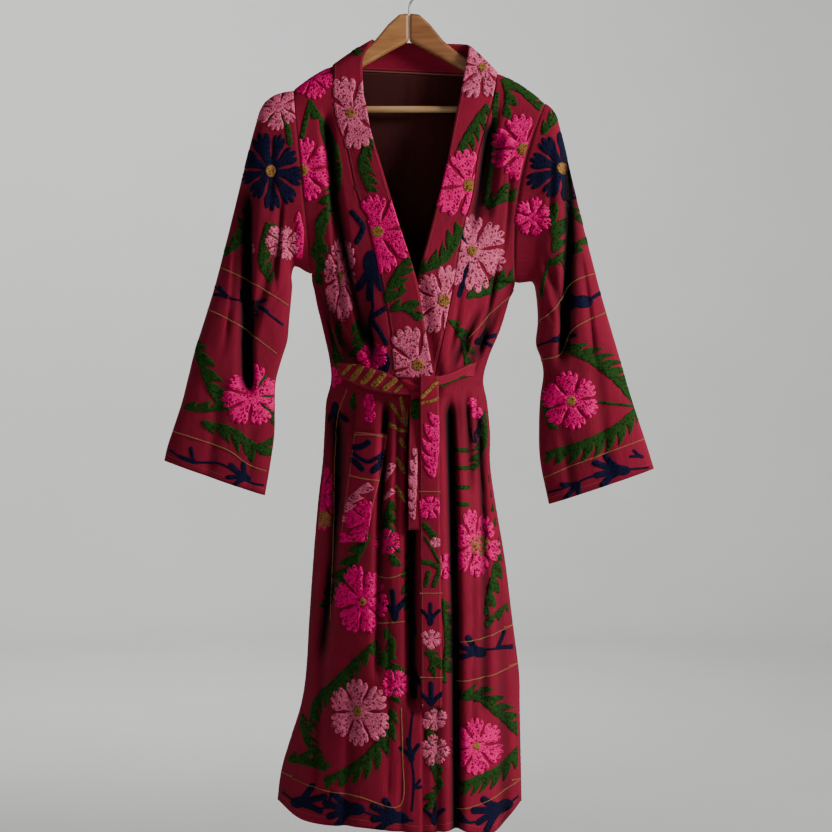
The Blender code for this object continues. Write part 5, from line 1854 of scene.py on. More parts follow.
@dataclass
class Studio:
    """A round pale room with a cove, the lamps and the camera."""

    floor_z: float = -1.62
    radius: float = 5.2
    height: float = 4.6
    cove: float = 0.9
    distance: float = 2.80
    target: tuple[float, float, float] = (0.0112, -0.03, -0.713)
    lens: float = 75.7
    sky: float = 0.10

    def make_room(self) -> None:
        """Turn the floor, cove and wall."""
        profile = [(0.001, self.floor_z)]
        for i in range(13):
            angle = math.pi / 2 * i / 12
            profile.append((self.radius - self.cove + self.cove * math.sin(angle),
                            self.floor_z + self.cove * (1 - math.cos(angle))))
        profile.append((self.radius, self.floor_z + self.height))
        shape = bmesh.new()
        sides = 96
        rings = [[shape.verts.new((r * math.cos(a), r * math.sin(a), z))
                  for a in (2 * math.pi * k / sides for k in range(sides))] for r, z in profile]
        for low, high in zip(rings, rings[1:]):
            for k in range(sides):
                m = (k + 1) % sides
                shape.faces.new((low[k], low[m], high[m], high[k]))
        mesh = bpy.data.meshes.new("studio_room")
        shape.to_mesh(mesh)
        shape.free()
        mesh.shade_smooth()
        mesh.materials.append(StageFinish().build())
        room = bpy.data.objects.new("studio_room", mesh)
        bpy.context.scene.collection.objects.link(room)

    @staticmethod
    def lamp(name: str, place: tuple[float, float, float], aim: tuple[float, float, float], size: float,
             power: float) -> None:
        """Add one soft lamp.

        Args:
            name: its name.
            place: where it stands.
            aim: what it points at.
            size: the side of its square.
            power: watts.
        """
        data = bpy.data.lights.new(name, "AREA")
        data.size = size
        data.energy = power
        made = bpy.data.objects.new(name, data)
        made.location = place
        made.rotation_euler = (Vector(aim) - Vector(place)).to_track_quat("-Z", "Y").to_euler()
        bpy.context.scene.collection.objects.link(made)

    def build(self) -> None:
        """Make the room, the lamps, the sky and the camera."""
        self.make_room()
        self.lamp("key", (2.9, -1.25, 0.65), (0.0, 0.0, -0.75), size=0.9, power=152.0)
        self.lamp("fill", (-2.2, -2.9, 0.2), (0.0, 0.0, -0.7), size=2.2, power=5.0)
        self.lamp("wall", (-0.8, 1.8, 1.4), (-1.0, 5.0, -0.2), size=2.0, power=122.0)
        world = bpy.data.worlds.new("studio_sky")
        world.use_nodes = True
        world.node_tree.nodes["Background"].inputs[0].default_value = (0.95, 0.97, 1.0, 1.0)
        world.node_tree.nodes["Background"].inputs[1].default_value = self.sky
        bpy.context.scene.world = world
        data = bpy.data.cameras.new("camera")
        data.sensor_width = 36.0
        data.lens = self.lens
        camera = bpy.data.objects.new("camera", data)
        camera.location = (self.target[0], self.target[1] - self.distance, self.target[2])
        camera.rotation_euler = (math.pi / 2, 0.0, 0.0)
        bpy.context.scene.collection.objects.link(camera)
        bpy.context.scene.camera = camera


class Flower(NamedTuple):
    """A flower of lobed petals, in mm.

    Its turn is in degrees, its heart a share of the radius (0 for none) and its width a share of its height.
    """

    x: float
    z: float
    radius: float
    shade: Shade
    petals: int = 7
    turn: float = 10.0
    heart: float = 0.0
    wide: float = 1.0

    def loops(self) -> dict[Shade, list[list[Flat]]]:
        """Outline the petals and the heart.

        Returns:
            The loops of each thread, in metres.
        """
        rng = random.Random(int(abs(self.x * 7) + abs(self.z * 13)))
        step = 2 * math.pi / self.petals
        slits = [math.radians(self.turn) + step * (k + rng.uniform(-PETAL_SHIFT, PETAL_SHIFT))
                 for k in range(self.petals)]
        slits.append(slits[0] + 2 * math.pi)
        loop = []
        for first, last in zip(slits, slits[1:]):
            middle, half = (first + last) / 2, (last - first) / 2 - PETAL_SLIT
            fingers = 4 if half > PETAL_WIDE else 3
            length = self.radius * rng.uniform(PETAL_SHORTEST, 1.0)
            loop.append(self.polar(first, self.radius * rng.uniform(*PETAL_ROOT)))
            loop += [self.polar(middle - half * share, length * reach) for share, reach in PETAL_FLANK]
            points = fingers * FINGER_POINTS
            for i in range(points + 1):
                t = 2 * i / points - 1
                bump = abs(math.sin(math.pi * fingers * (t + 1) / 2)) ** FINGER_ROUND
                reach = length * (1 - FINGER_CUT * (1 - bump)) * (1 - PETAL_CROWN * t * t)
                loop.append(self.polar(middle + t * half, reach))
            loop += [self.polar(middle + half * share, length * reach) for share, reach in PETAL_FLANK[::-1]]
        found = {self.shade: [loop]}
        if self.heart:
            ring = [self.polar(2 * math.pi * i / HEART_POINTS, self.radius * self.heart)
                    for i in range(HEART_POINTS)]
            found.setdefault(Shade.TAN, []).append(ring)
        return found

    def polar(self, angle: float, reach: float) -> Flat:
        """A point of the flower, in metres."""
        return ((self.x + self.wide * reach * math.cos(angle)) * MM, (self.z + reach * math.sin(angle)) * MM)


def spine(points: Sequence[Flat], count: int) -> list[tuple[Vector, Vector]]:
    """Points and directions on a smooth curve.

    Args:
        points: the few points that it passes, in mm.
        count: steps along it.

    Returns:
        Pairs of point and unit direction, in metres.
    """
    knots = [Vector(point) * MM for point in points]
    places = []
    for i in range(count + 1):
        run = min(i / count * (len(knots) - 1), len(knots) - 1 - 1e-6)
        j, t = int(run), run - int(run)
        a, b, c, d = knots[max(j - 1, 0)], knots[j], knots[j + 1], knots[min(j + 2, len(knots) - 1)]
        places.append((b * 2 + (c - a) * t + (a * 2 - b * 5 + c * 4 - d) * t * t
                       + (b * 3 - a - c * 3 + d) * t ** 3) / 2)
    found = []
    for i, place in enumerate(places):
        ahead = places[min(i + 1, count)] - places[max(i - 1, 0)]
        found.append((place, ahead.normalized()))
    return found


class Leaf(NamedTuple):
    """A toothed leaf along a curve, in mm: its points, width and teeth, and the side of the teeth."""

    points: tuple[Flat, ...]
    width: float
    teeth: int
    side: int = 1
    shade: Shade = Shade.GREEN

    def loops(self) -> dict[Shade, list[list[Flat]]]:
        """Outline the leaf.

        Returns:
            The loops of each thread, in metres.
        """
        places = spine(self.points, self.teeth * TOOTH_POINTS)
        toothed, plain = [], []
        for i, (place, ahead) in enumerate(places):
            part = i / (len(places) - 1)
            across = Vector((-ahead.y, ahead.x)) * self.side
            tooth = abs(math.sin(math.pi * i / TOOTH_POINTS)) ** TOOTH_ROUND
            taper = math.sqrt(max(math.sin(math.pi * mix(LEAF_BASE, LEAF_TIP, part)), 0.0))
            reach = self.width * MM * taper * (LEAF_BLADE + tooth)
            toothed.append(tuple(place + across * reach + ahead * reach * TOOTH_LEAN * tooth))
            reach = self.width * MM * taper * (LEAF_PLAIN + LEAF_PLAIN_WAVE * tooth)
            plain.append(tuple(place - across * reach))
        return {self.shade: [toothed + plain[::-1]]}


class Vine(NamedTuple):
    """A stitched stroke along a curve, in mm: its points, width and thread."""

    points: tuple[Flat, ...]
    width: float = 3.2
    shade: Shade = Shade.NAVY

    def loops(self) -> dict[Shade, list[list[Flat]]]:
        """Outline the stroke, with round ends.

        Returns:
            The loops of each thread, in metres.
        """
        length = sum(math.dist(a, b) for a, b in zip(self.points, self.points[1:]))
        places = spine(self.points, max(4, int(length / VINE_STEP_MM)))
        one, other = [], []
        half = self.width / 2 * MM
        for place, ahead in places:
            across = Vector((-ahead.y, ahead.x)) * half
            one.append(tuple(place + across))
            other.append(tuple(place - across))
        caps = []
        for place, ahead in (places[-1], places[0]):
            sign = 1 if place is places[-1][0] else -1
            base = math.atan2(ahead.y * sign, ahead.x * sign)
            caps.append([tuple(place + half * Vector((math.cos(base + a), math.sin(base + a))))
                         for a in (math.pi / 4, 0.0, -math.pi / 4)])
        return {self.shade: [one + caps[0] + other[::-1] + caps[1]]}


class Sprig(NamedTuple):
    """Finger leaves that fan from a bud, in mm: base, turn in degrees, length, fingers, bud, thread."""

    x: float
    z: float
    turn: float
    size: float
    fingers: int = 3
    bud: float = 0.0
    shade: Shade = Shade.NAVY
    fan: float = 34.0

    def loops(self) -> dict[Shade, list[list[Flat]]]:
        """Outline the fingers and the bud.

        Returns:
            The loops of each thread, in metres.
        """
        found = []
        for k in range(self.fingers):
            off = k - (self.fingers - 1) / 2
            angle = math.radians(self.turn + off * self.fan)
            bent = angle + math.radians(off * SPRIG_BEND)
            reach = self.size * (1 - SPRIG_SHORTER * abs(off) + SPRIG_UNEVEN * (k % 2))
            middle = (self.x + 0.5 * reach * math.cos(angle), self.z + 0.5 * reach * math.sin(angle))
            tip = (middle[0] + 0.5 * reach * math.cos(bent), middle[1] + 0.5 * reach * math.sin(bent))
            width = max(SPRIG_LEAST_MM, self.size * SPRIG_WIDTH)
            found += Vine(((self.x, self.z), middle, tip), width, self.shade).loops()[self.shade]
        if self.bud:
            turn = math.radians(self.turn)
            loop = []
            for i in range(HEART_POINTS):
                angle = 2 * math.pi * i / HEART_POINTS
                ahead, across = self.bud * math.cos(angle), self.bud * BUD_WIDTH * math.sin(angle)
                loop.append(((self.x + ahead * math.cos(turn) - across * math.sin(turn)) * MM,
                             (self.z + ahead * math.sin(turn) + across * math.cos(turn)) * MM))
            found.append(loop)
        return {self.shade: found}


class Line(NamedTuple):
    """A single line of chain stitch, in mm."""

    points: tuple[Flat, ...]


NAVY, GREEN, ROSE, FUCHSIA, TAN = Shade.NAVY, Shade.GREEN, Shade.ROSE, Shade.FUCHSIA, Shade.TAN
Motif = Flower | Leaf | Vine | Sprig | Line

# Each piece's motifs, at their x and z in mm. The first two lie on a front and near its sleeve.
SHOULDER_FLOWER_RIGHT = Flower(-171, -320, 58, FUCHSIA, 7, 4, 0.17)
SHOULDER_FLOWER_LEFT = Flower(183, -286, 61, FUCHSIA, 7, 20, 0.17)
SLEEVE_RIGHT_MOTIFS = (
    Leaf(((-177, -386), (-171, -420), (-174, -460)), 9, 4, -1, FUCHSIA),
    Flower(-209, -216, 42, ROSE, 7, 30),
    Flower(-221, -321, 67, NAVY, 9, 12, 0.15, 0.84),
    Vine(((-222, -234), (-198, -242), (-191, -276)), 9.0, GREEN),
    Flower(-202, -436, 34, ROSE, 7, 0),
    Flower(-257, -446, 15, ROSE, 5, 20),
    Flower(-251, -682, 54, FUCHSIA, 7, 8),
    Leaf(((-250, -226), (-278, -276), (-286, -340)), 15, 6, -1),
    Leaf(((-296, -455), (-268, -428), (-256, -386)), 16, 5, 1),
    Leaf(((-222, -500), (-236, -462), (-226, -404)), 16, 5, -1),
    Leaf(((-345, -590), (-326, -648), (-300, -706)), 19, 5, 1),
    Leaf(((-362, -700), (-330, -703), (-302, -702)), 13, 3, 1),
    Leaf(((-332, -722), (-284, -736), (-246, -762), (-218, -748)), 19, 6, -1),
    Leaf(((-240, -640), (-236, -684), (-216, -730)), 17, 5, 1),
    Line(((-303, -474), (-250, -500), (-196, -534))),
    Line(((-326, -540), (-272, -568), (-214, -612))),
    Vine(((-318, -500), (-286, -524), (-250, -532), (-204, -566)), 3.4),
    Sprig(-290, -522, 150, 22, 2), Sprig(-252, -531, -30, 26, 3, 6), Sprig(-270, -529, 70, 18, 2),
    Line(((-382, -737), (-318, -757), (-286, -770), (-258, -791), (-232, -801))),
    Vine(((-384, -768), (-352, -786), (-300, -790), (-258, -818), (-236, -824)), 3.4),
    Sprig(-345, -787, 130, 24, 2, 0, NAVY, 52), Sprig(-262, -812, 158, 30, 4, 9),
)
SLEEVE_LEFT_MOTIFS = (
    Flower(246, -316, 66, NAVY, 9, 24, 0.15),
    Flower(198, -396, 36, FUCHSIA, 7, 0),
    Flower(260, -689, 52, FUCHSIA, 6, 14, 0.15),
    Leaf(((214, -262), (232, -240), (240, -226)), 14, 3, 1),
    Leaf(((232, -452), (233, -418), (221, -380)), 18, 3, -1),
    Leaf(((252, -378), (266, -390), (281, -405)), 11, 2, 1),
    Leaf(((222, -470), (252, -450), (286, -425)), 12, 4, -1),
    Vine(((222, -470), (240, -462), (250, -478)), 5.0, GREEN),
    Vine(((214, -520), (216, -494), (226, -462)), 5.0, GREEN),
    Line(((207, -562), (232, -542), (262, -500), (300, -483))),
    Line(((215, -622), (246, -612), (266, -572), (318, -546))),
    Sprig(278, -530, 180, 30, 3, 17, NAVY, 26), Vine(((290, -526), (312, -512)), 6.0),
    Sprig(236, -590, 12, 28, 3, 8, NAVY, 30), Vine(((206, -600), (236, -590)), 3.4),
    Leaf(((240, -602), (290, -622), (330, -652), (366, -696)), 22, 9, 1),
    Leaf(((368, -700), (330, -734), (278, -758), (220, -774)), 22, 9, 1),
    Leaf(((214, -672), (220, -704), (228, -734)), 13, 4, 1),
    Vine(((300, -690), (366, -698)), 4.2, GREEN),
    Line(((219, -812), (258, -794), (300, -778), (378, -750))),
    Vine(((226, -836), (262, -824), (292, -810), (342, -800), (384, -796)), 3.4),
    Sprig(342, -800, 178, 44, 4, 13, NAVY, 20), Sprig(272, -821, 230, 30, 3, 0, NAVY, 40),
    Sprig(372, -778, 160, 16, 2, 5),
)
FRONT_RIGHT_MOTIFS = (
    SHOULDER_FLOWER_RIGHT,
    Flower(-156, -168, 38, FUCHSIA, 6, 15),
    Flower(-109, -490, 74, ROSE, 6, 16, 0.11, 0.43),
    Leaf(((-160, -206), (-122, -272), (-112, -334), (-126, -378), (-150, -462)), 16, 8, -1),
    Vine(((-158, -208), (-166, -240), (-172, -268)), 8.0, GREEN),
    Leaf(((-148, -404), (-144, -452), (-150, -500)), 13, 4, 1),
    Vine(((-91, -388), (-76, -406), (-73, -416), (-83, -436)), 8.5),
    Sprig(-60, -470, -92, 50, 3, 21, NAVY, 20),
    Vine(((-60, -508), (-57, -540), (-62, -562), (-54, -612)), 4.6),
    Vine(((-60, -556), (-48, -549), (-36, -541)), 8.0),
    Vine(((-60, -560), (-48, -576), (-36, -598)), 8.0),
    Sprig(-40, -628, 90, 20, 1, 18),
    Leaf(((-84, -560), (-76, -588), (-82, -620)), 16, 3, -1),
    Flower(-58, -618, 26, FUCHSIA, 7, 0),
    Flower(-124, -650, 22, FUCHSIA, 7, 0),
    Leaf(((-112, -560), (-122, -600), (-112, -650)), 13, 4, 1),
    Leaf(((-86, -676), (-92, -690), (-90, -702)), 8, 2, 1),
    Sprig(-118, -700, -86, 32, 3, 10),
    Flower(-140, -840, 62, FUCHSIA, 6, 0, 0.0, 0.60),
    Flower(-136, -880, 16, TAN, 6, 0),
    Leaf(((-62, -900), (-92, -955), (-134, -1024)), 17, 6, -1),
    Flower(-72, -1006, 62, FUCHSIA, 6, 24, 0.10, 0.80),
    Flower(-80, -1178, 64, ROSE, 6, 6, 0.13, 0.86),
    Leaf(((-52, -1068), (-85, -1102), (-112, -1132), (-148, -1170), (-158, -1212)), 17, 10, 1),
    Leaf(((-196, -1268), (-160, -1266), (-130, -1274)), 16, 4, 1),
    Leaf(((-176, -1192), (-164, -1230), (-142, -1266)), 14, 5, 1),
    Leaf(((-26, -1172), (-38, -1210), (-62, -1245), (-92, -1268), (-134, -1288)), 20, 8, 1),
    Leaf(((-62, -1080), (-30, -1110), (-26, -1160)), 16, 5, 1),
    Flower(-20, -1132, 26, FUCHSIA, 7, 0),
    Line(((-99, -672), (-112, -706), (-119, -750), (-121, -820), (-121, -920), (-125, -1040))),
    Line(((-212, -1286), (-150, -1302), (-80, -1310), (-13, -1322), (-10, -1240), (-12, -1172))),
    Vine(((-206, -1318), (-160, -1336), (-100, -1326), (-40, -1342), (6, -1346)), 3.4),
    Sprig(-176, -1330, 20, 42, 3, 14, NAVY, 26), Sprig(-84, -1330, 186, 46, 4, 16, NAVY, 20),
    Sprig(-128, -1330, 40, 24, 2, 0, NAVY, 60), Sprig(-14, -1342, 170, 44, 4, 15, NAVY, 20),
    Vine(((5, -1330), (8, -1280), (2, -1230), (6, -1180)), 3.4), Sprig(4, -1248, 100, 26, 3, 8),
    Sprig(7, -1296, 30, 16, 2), Vine(((-30, -691), (-20, -706), (-5, -728)), 5.0, TAN),
    Vine(((-13, -683), (-9, -704), (-5, -726)), 4.5, TAN),
    Vine(((-36, -721), (-20, -733), (-1, -738)), 5.5, TAN),
    Vine(((-15, -748), (-9, -757), (-2, -767)), 6.5, TAN),
    Vine(((-18, -780), (-13, -790), (-5, -802)), 6.5, TAN),
    Vine(((-19, -824), (-14, -835), (-6, -847)), 6.5, TAN),
    Flower(-63, -690, 17, FUCHSIA, 5, 12, 0.0, 0.62),
    Flower(-62, -711, 15, FUCHSIA, 5, 40, 0.0, 0.66),
    Leaf(((-43, -826), (-33, -808), (-22, -790)), 7.5, 2, 1, ROSE),
    Leaf(((-44, -850), (-34, -841), (-23, -832)), 6.5, 2, 1, ROSE),
    Leaf(((-28, -846), (-36, -890), (-24, -950)), 15, 5, 1), Flower(-34, -912, 24, FUCHSIA, 7, 10),
    Line(((-50, -966), (-30, -968), (-6, -960))), Sprig(-22, -1026, 96, 34, 3, 10),
    Line(((-50, -1040), (-8, -1036))),
    Leaf(((-36, -1046), (-24, -1076), (-40, -1108)), 13, 4, -1),
    Leaf(((6, -700), (12, -780), (4, -860)), 12, 7, 1),
    Leaf(((10, -900), (2, -980), (12, -1060)), 12, 7, -1),
    Sprig(10, -1120, -90, 32, 3, 8),
)
FRONT_LEFT_MOTIFS = (
    SHOULDER_FLOWER_LEFT,
    Leaf(((126, -381), (150, -366), (174, -364)), 18, 3, 1),
    Leaf(((148, -172), (184, -192), (212, -222)), 18, 4, 1),
    Leaf(((152, -176), (158, -200), (152, -232)), 13, 3, 1),
    Vine(((140, -196), (134, -290), (122, -372)), 10.0, GREEN),
    Flower(100, -450, 68, ROSE, 6, 8, 0.12),
    Vine(((94, -404), (86, -440), (90, -480), (80, -520)), 9.0),
    Leaf(((92, -524), (130, -512), (174, -486)), 17, 5, 1),
    Line(((98, -587), (130, -548), (162, -520))),
    Sprig(112, -592, 20, 26, 3, 9, NAVY, 34), Leaf(((64, -560), (84, -590), (92, -636)), 13, 4, 1),
    Flower(101, -692, 10, FUCHSIA, 5, 5), Flower(109, -708, 12, FUCHSIA, 5, 30),
    Vine(((117, -714), (114, -726), (107, -740)), 6.0), Vine(((98, -734), (103, -745), (105, -754)), 6.0),
    Leaf(((128, -700), (120, -760), (104, -800)), 13, 5, -1),
    Vine(((76, -767), (92, -768)), 7.0, GREEN), Vine(((76, -795), (92, -796)), 7.0, GREEN),
    Vine(((77, -826), (93, -827)), 7.0, GREEN), Vine(((78, -853), (93, -854)), 7.0, GREEN),
    Flower(104, -916, 62, FUCHSIA, 6, 14, 0.0, 0.72), Flower(112, -920, 19, TAN, 6, 0),
    Leaf(((148, -900), (134, -970), (120, -1030)), 13, 6, 1),
    Leaf(((166, -1012), (144, -1026), (120, -1044)), 10, 3, 1),
    Leaf(((132, -800), (144, -840), (146, -890)), 12, 4, -1),
    Line(((84, -1070), (120, -1066), (168, -1050))), Line(((78, -1132), (130, -1126), (176, -1112))),
    Vine(((80, -1094), (116, -1086), (172, -1082)), 3.4), Sprig(112, -1088, 160, 36, 3, 13, NAVY, 26),
    Sprig(140, -1084, 30, 26, 2, 0, NAVY, 60),
    Flower(106, -1234, 52, FUCHSIA, 6, 6, 0.12),
    Leaf(((72, -1158), (110, -1160), (150, -1196), (180, -1232)), 19, 8, 1),
    Leaf(((184, -1238), (150, -1272), (110, -1286), (74, -1296)), 19, 8, 1),
    Line(((76, -1334), (130, -1322), (181, -1298))),
    Vine(((70, -1352), (120, -1352), (176, -1326)), 3.4), Sprig(150, -1338, 190, 46, 4, 17, NAVY, 20),
    Sprig(92, -1352, 150, 20, 2),
    Leaf(((44, -1156), (30, -1216), (44, -1290)), 15, 7, 1), Flower(40, -1190, 22, ROSE, 6, 0),
    Flower(40, -1238, 26, ROSE, 7, 20), Leaf(((54, -1290), (40, -1310), (34, -1330)), 11, 3, -1),
    Flower(54, -950, 24, FUCHSIA, 7, 0),
    Leaf(((52, -1000), (60, -1070), (50, -1130)), 12, 6, 1), Sprig(40, -1348, 90, 26, 3, 8),
)
BAND_RIGHT_MOTIFS = (
    Leaf(((-96, -112), (-84, -130), (-70, -120)), 12, 3, 1),
    Flower(-94, -228, 66, ROSE, 6, 22, 0.12), Leaf(((-62, -268), (-76, -310), (-62, -356)), 17, 6, 1),
    Flower(-50, -420, 72, FUCHSIA, 6, 12, 0.13), Leaf(((-40, -530), (-20, -490), (0, -462)), 17, 4, -1),
    Leaf(((-38, -534), (-16, -522), (-4, -512)), 10, 2, 1),
    Leaf(((-30, -545), (-4, -544), (16, -562)), 15, 3, 1),
    Flower(14, -632, 68, ROSE, 6, 22, 0.14), Leaf(((-104, -302), (-98, -334), (-84, -352)), 10, 3, -1),
)
BAND_LEFT_MOTIFS = (
    Flower(118, -152, 56, ROSE, 7, 10, 0.12), Leaf(((126, -212), (98, -256), (74, -300)), 17, 6, 1),
    Flower(96, -345, 66, FUCHSIA, 6, 14, 0.16), Leaf(((16, -486), (58, -462), (86, -414)), 19, 5, 1),
    Leaf(((70, -430), (84, -424), (92, -430)), 10, 2, 1),
    Flower(55, -530, 62, ROSE, 7, 8, 0.16), Leaf(((20, -560), (14, -600), (10, -650)), 12, 4, 1),
    Leaf(((98, -118), (112, -130), (124, -128)), 10, 2, 1),
)
BAND_NECK_MOTIFS = (Leaf(((-84, -122), (-56, -130), (-34, -120)), 13, 4, 1),)
POCKET_MOTIFS = (
    Line(((-86, -743), (-60, -743), (-35, -747))), Line(((-98, -806), (-74, -812), (-48, -815))),
    Vine(((-89, -771), (-76, -781), (-60, -785), (-39, -770)), 6.5),
    Vine(((-88, -763), (-76, -762), (-64, -755)), 9.5),
    Vine(((-90, -783), (-82, -789), (-74, -797)), 9.5), Vine(((-57, -800), (-50, -793), (-41, -779)), 9.5),
    Leaf(((-99, -866), (-90, -843), (-63, -819)), 13, 3, -1, ROSE), Flower(-103, -876, 6, ROSE, 5, 0),
    Flower(-62, -880, 42, FUCHSIA, 6, 20), Flower(-104, -912, 18, FUCHSIA, 6, 0),
)
BELT_RIGHT_MOTIFS = (
    Vine(((-104, -645), (-96, -637), (-90, -628)), 6.0, TAN),
    Vine(((-89, -654), (-82, -646), (-74, -633)), 9.0, TAN),
    Vine(((-72, -659), (-64, -651), (-57, -641)), 9.5, TAN),
    Vine(((-55, -664), (-48, -657), (-40, -648)), 9.5, TAN),
    Vine(((-38, -670), (-31, -664), (-22, -657)), 8.5, TAN),
    Vine(((-22, -674), (-17, -671), (-12, -666)), 5.0, TAN),
)
BELT_LEFT_MOTIFS = (
    Vine(((46, -668), (66, -661), (88, -650)), 5.0, GREEN),
)
BELT_BACK_MOTIFS = tuple(Vine(((x, -647), (x + 6, -634), (x + 10, -619)), 6.0, TAN)
                         for x in range(-112, 105, 18))
KNOT_TAIL_MOTIFS = (
    Vine(((21, -683), (33, -671), (45, -658)), 6.0, TAN),
    Vine(((20, -693), (34, -690), (47, -685)), 4.6, TAN),
    Leaf(((38, -810), (41, -768), (46, -712)), 19, 5, 1, FUCHSIA),
    Line(((17, -832), (50, -832))), Flower(34, -856, 23, FUCHSIA, 6, 12),
    Vine(((25, -885), (31, -892), (39, -902)), 10.0, GREEN),
    Vine(((26, -904), (37, -922), (48, -944)), 4.6, GREEN),
    Vine(((23, -942), (35, -944), (48, -952)), 8.0, GREEN),
    Vine(((31, -959), (29, -968), (27, -978)), 7.5, GREEN),
    Vine(((47, -958), (43, -968), (39, -979)), 7.5, GREEN), Flower(42, -912, 10, ROSE, 5, 0),
    Line(((18, -991), (51, -991))), Sprig(34, -1034, 90, 24, 3, 8), Flower(35, -1062, 18, ROSE, 6, 0),
    Leaf(((26, -1080), (38, -1096), (32, -1112)), 14, 3, 1), Line(((19, -1122), (52, -1122))),
    Sprig(35, -1164, 90, 30, 3, 0, NAVY, 40),
)
UNDER_TAIL_MOTIFS = (
    Vine(((11, -690), (10, -712)), 15.0, GREEN), Leaf(((8, -876), (9, -830), (12, -764)), 10, 6, 1, ROSE),
)


def vine_sprigs(*places: tuple[float, float, float]) -> tuple[Sprig, ...]:
    """The back's sprigs, all of one size, from their place in mm and turn."""
    return tuple(Sprig(x, z, turn, 34, 4, 12, NAVY, 24) for x, z, turn in places)


BACK_MOTIFS = (
    Flower(0, -236, 64, FUCHSIA, 6, 10, 0.15), Flower(-118, -318, 58, ROSE, 6, 20, 0.14),
    Flower(126, -330, 60, ROSE, 6, 0, 0.14), Flower(2, -452, 70, FUCHSIA, 6, 22, 0.15),
    Flower(-96, -560, 46, ROSE, 6, 12, 0.14), Flower(98, -556, 48, FUCHSIA, 6, 4, 0.14),
    Flower(-84, -800, 62, FUCHSIA, 6, 14, 0.15), Flower(86, -812, 60, ROSE, 6, 2, 0.14),
    Flower(0, -940, 60, ROSE, 6, 18, 0.14), Flower(-104, -1168, 64, ROSE, 6, 8, 0.14),
    Flower(12, -1180, 66, FUCHSIA, 6, 16, 0.15), Flower(120, -1166, 60, ROSE, 6, 4, 0.14),
    Leaf(((-84, -250), (-60, -300), (-66, -380)), 18, 7, 1),
    Leaf(((88, -250), (64, -306), (70, -384)), 18, 7, -1),
    Leaf(((-140, -400), (-100, -440), (-70, -500)), 18, 7, -1),
    Leaf(((150, -408), (104, -446), (74, -500)), 18, 7, 1),
    Leaf(((-50, -560), (-20, -590), (20, -600), (52, -562)), 17, 8, 1),
    Leaf(((-140, -740), (-120, -700), (-70, -690), (-24, -730)), 18, 8, 1),
    Leaf(((138, -750), (120, -706), (74, -700), (28, -740)), 18, 8, -1),
    Leaf(((-146, -860), (-110, -906), (-60, -900)), 18, 6, -1),
    Leaf(((148, -870), (112, -910), (66, -902)), 18, 6, 1),
    Leaf(((-60, -1100), (-110, -1090), (-160, -1130), (-176, -1200)), 19, 9, 1),
    Leaf(((-176, -1210), (-140, -1262), (-80, -1262), (-52, -1230)), 19, 9, 1),
    Leaf(((66, -1100), (116, -1090), (160, -1120), (176, -1190)), 19, 9, -1),
    Leaf(((176, -1200), (140, -1256), (96, -1262), (70, -1236)), 19, 9, -1),
    *vine_sprigs((-34, -350, 200), (44, -356, -20)),
    Vine(((-60, -356), (0, -338), (62, -360)), 3.4), Sprig(0, -700, 90, 36, 4, 12, NAVY, 26),
    Line(((-160, -1010), (-80, -1024), (0, -1028), (80, -1026), (168, -1012))),
    Line(((-166, -1080), (-80, -1070), (0, -1072), (80, -1070), (172, -1082))),
    Vine(((-160, -1044), (-90, -1052), (-20, -1046), (60, -1054), (166, -1046)), 3.4),
    *vine_sprigs((-110, -1049, 170), (-10, -1047, 10), (92, -1051, 175)),
    Line(((-208, -1284), (-120, -1300), (0, -1312), (100, -1308), (180, -1286))),
    Vine(((-206, -1316), (-150, -1334), (-90, -1328), (0, -1342), (90, -1338), (178, -1316)), 3.4),
    *vine_sprigs((-160, -1332, 20), (-60, -1332, 190), (36, -1341, 10), (130, -1332, 185)),
)


def recolour(motifs: Sequence[Motif]) -> list[Motif]:
    """The same layout with the two pinks exchanged, for the side that the first one hides."""
    swapped = {ROSE: FUCHSIA, FUCHSIA: ROSE}
    return [m._replace(shade=swapped.get(m.shade, m.shade)) if isinstance(m, Flower) else m for m in motifs]


@dataclass
class Ground:
    """One face of a piece of cloth, as a ground for embroidery."""

    name: str
    rows: Grid
    facing: int
    lift: float
    where: Place = Place.PLAIN
    margin: tuple[int, int] = (0, 0)

    def __post_init__(self) -> None:
        """Lay the face out flat and as a surface to project on."""
        width = len(self.rows[0])
        points = [point for row in self.rows for point in row]
        quads = [(j * width + i, j * width + i + 1, (j + 1) * width + i + 1, (j + 1) * width + i)
                 for j in range(len(self.rows) - 1) for i in range(width - 1)]
        self.tree = BVHTree.FromPolygons(points, quads)
        self.flat = [(point.x, point.z) for point in points]
        self.mean_y = sum(point.y for point in points) / len(points)
        inner = [row[self.margin[0]:len(row) - self.margin[1]] for row in self.rows]
        ring = list(inner[0]) + [row[-1] for row in inner[1:]]
        ring += list(reversed(inner[-1][:-1])) + [row[0] for row in reversed(inner[1:-1])]
        self.edge = counter_clockwise([(point.x, point.z) for point in ring])

    def place(self, x: float, z: float, height: float) -> Vector:
        """Put a point on the face.

        Args:
            x: place across.
            z: place up.
            height: how far it stands off the cloth.

        Returns:
            The point in space.
        """
        hit, normal, _, _ = self.tree.ray_cast(Vector((x, self.facing, z)), Vector((0, -self.facing, 0)))
        if hit is None:
            hit, normal, _, _ = self.tree.find_nearest(Vector((x, self.mean_y, z)))
        if normal.y * self.facing < 0:
            normal = -normal
        return hit + normal * (self.lift + height)


def counter_clockwise(loop: list[Flat]) -> list[Flat]:
    """The loop, turned round if it runs clockwise."""
    area = sum(a[0] * b[1] - b[0] * a[1] for a, b in zip(loop, loop[1:] + loop[:1]))
    return loop if area > 0 else loop[::-1]


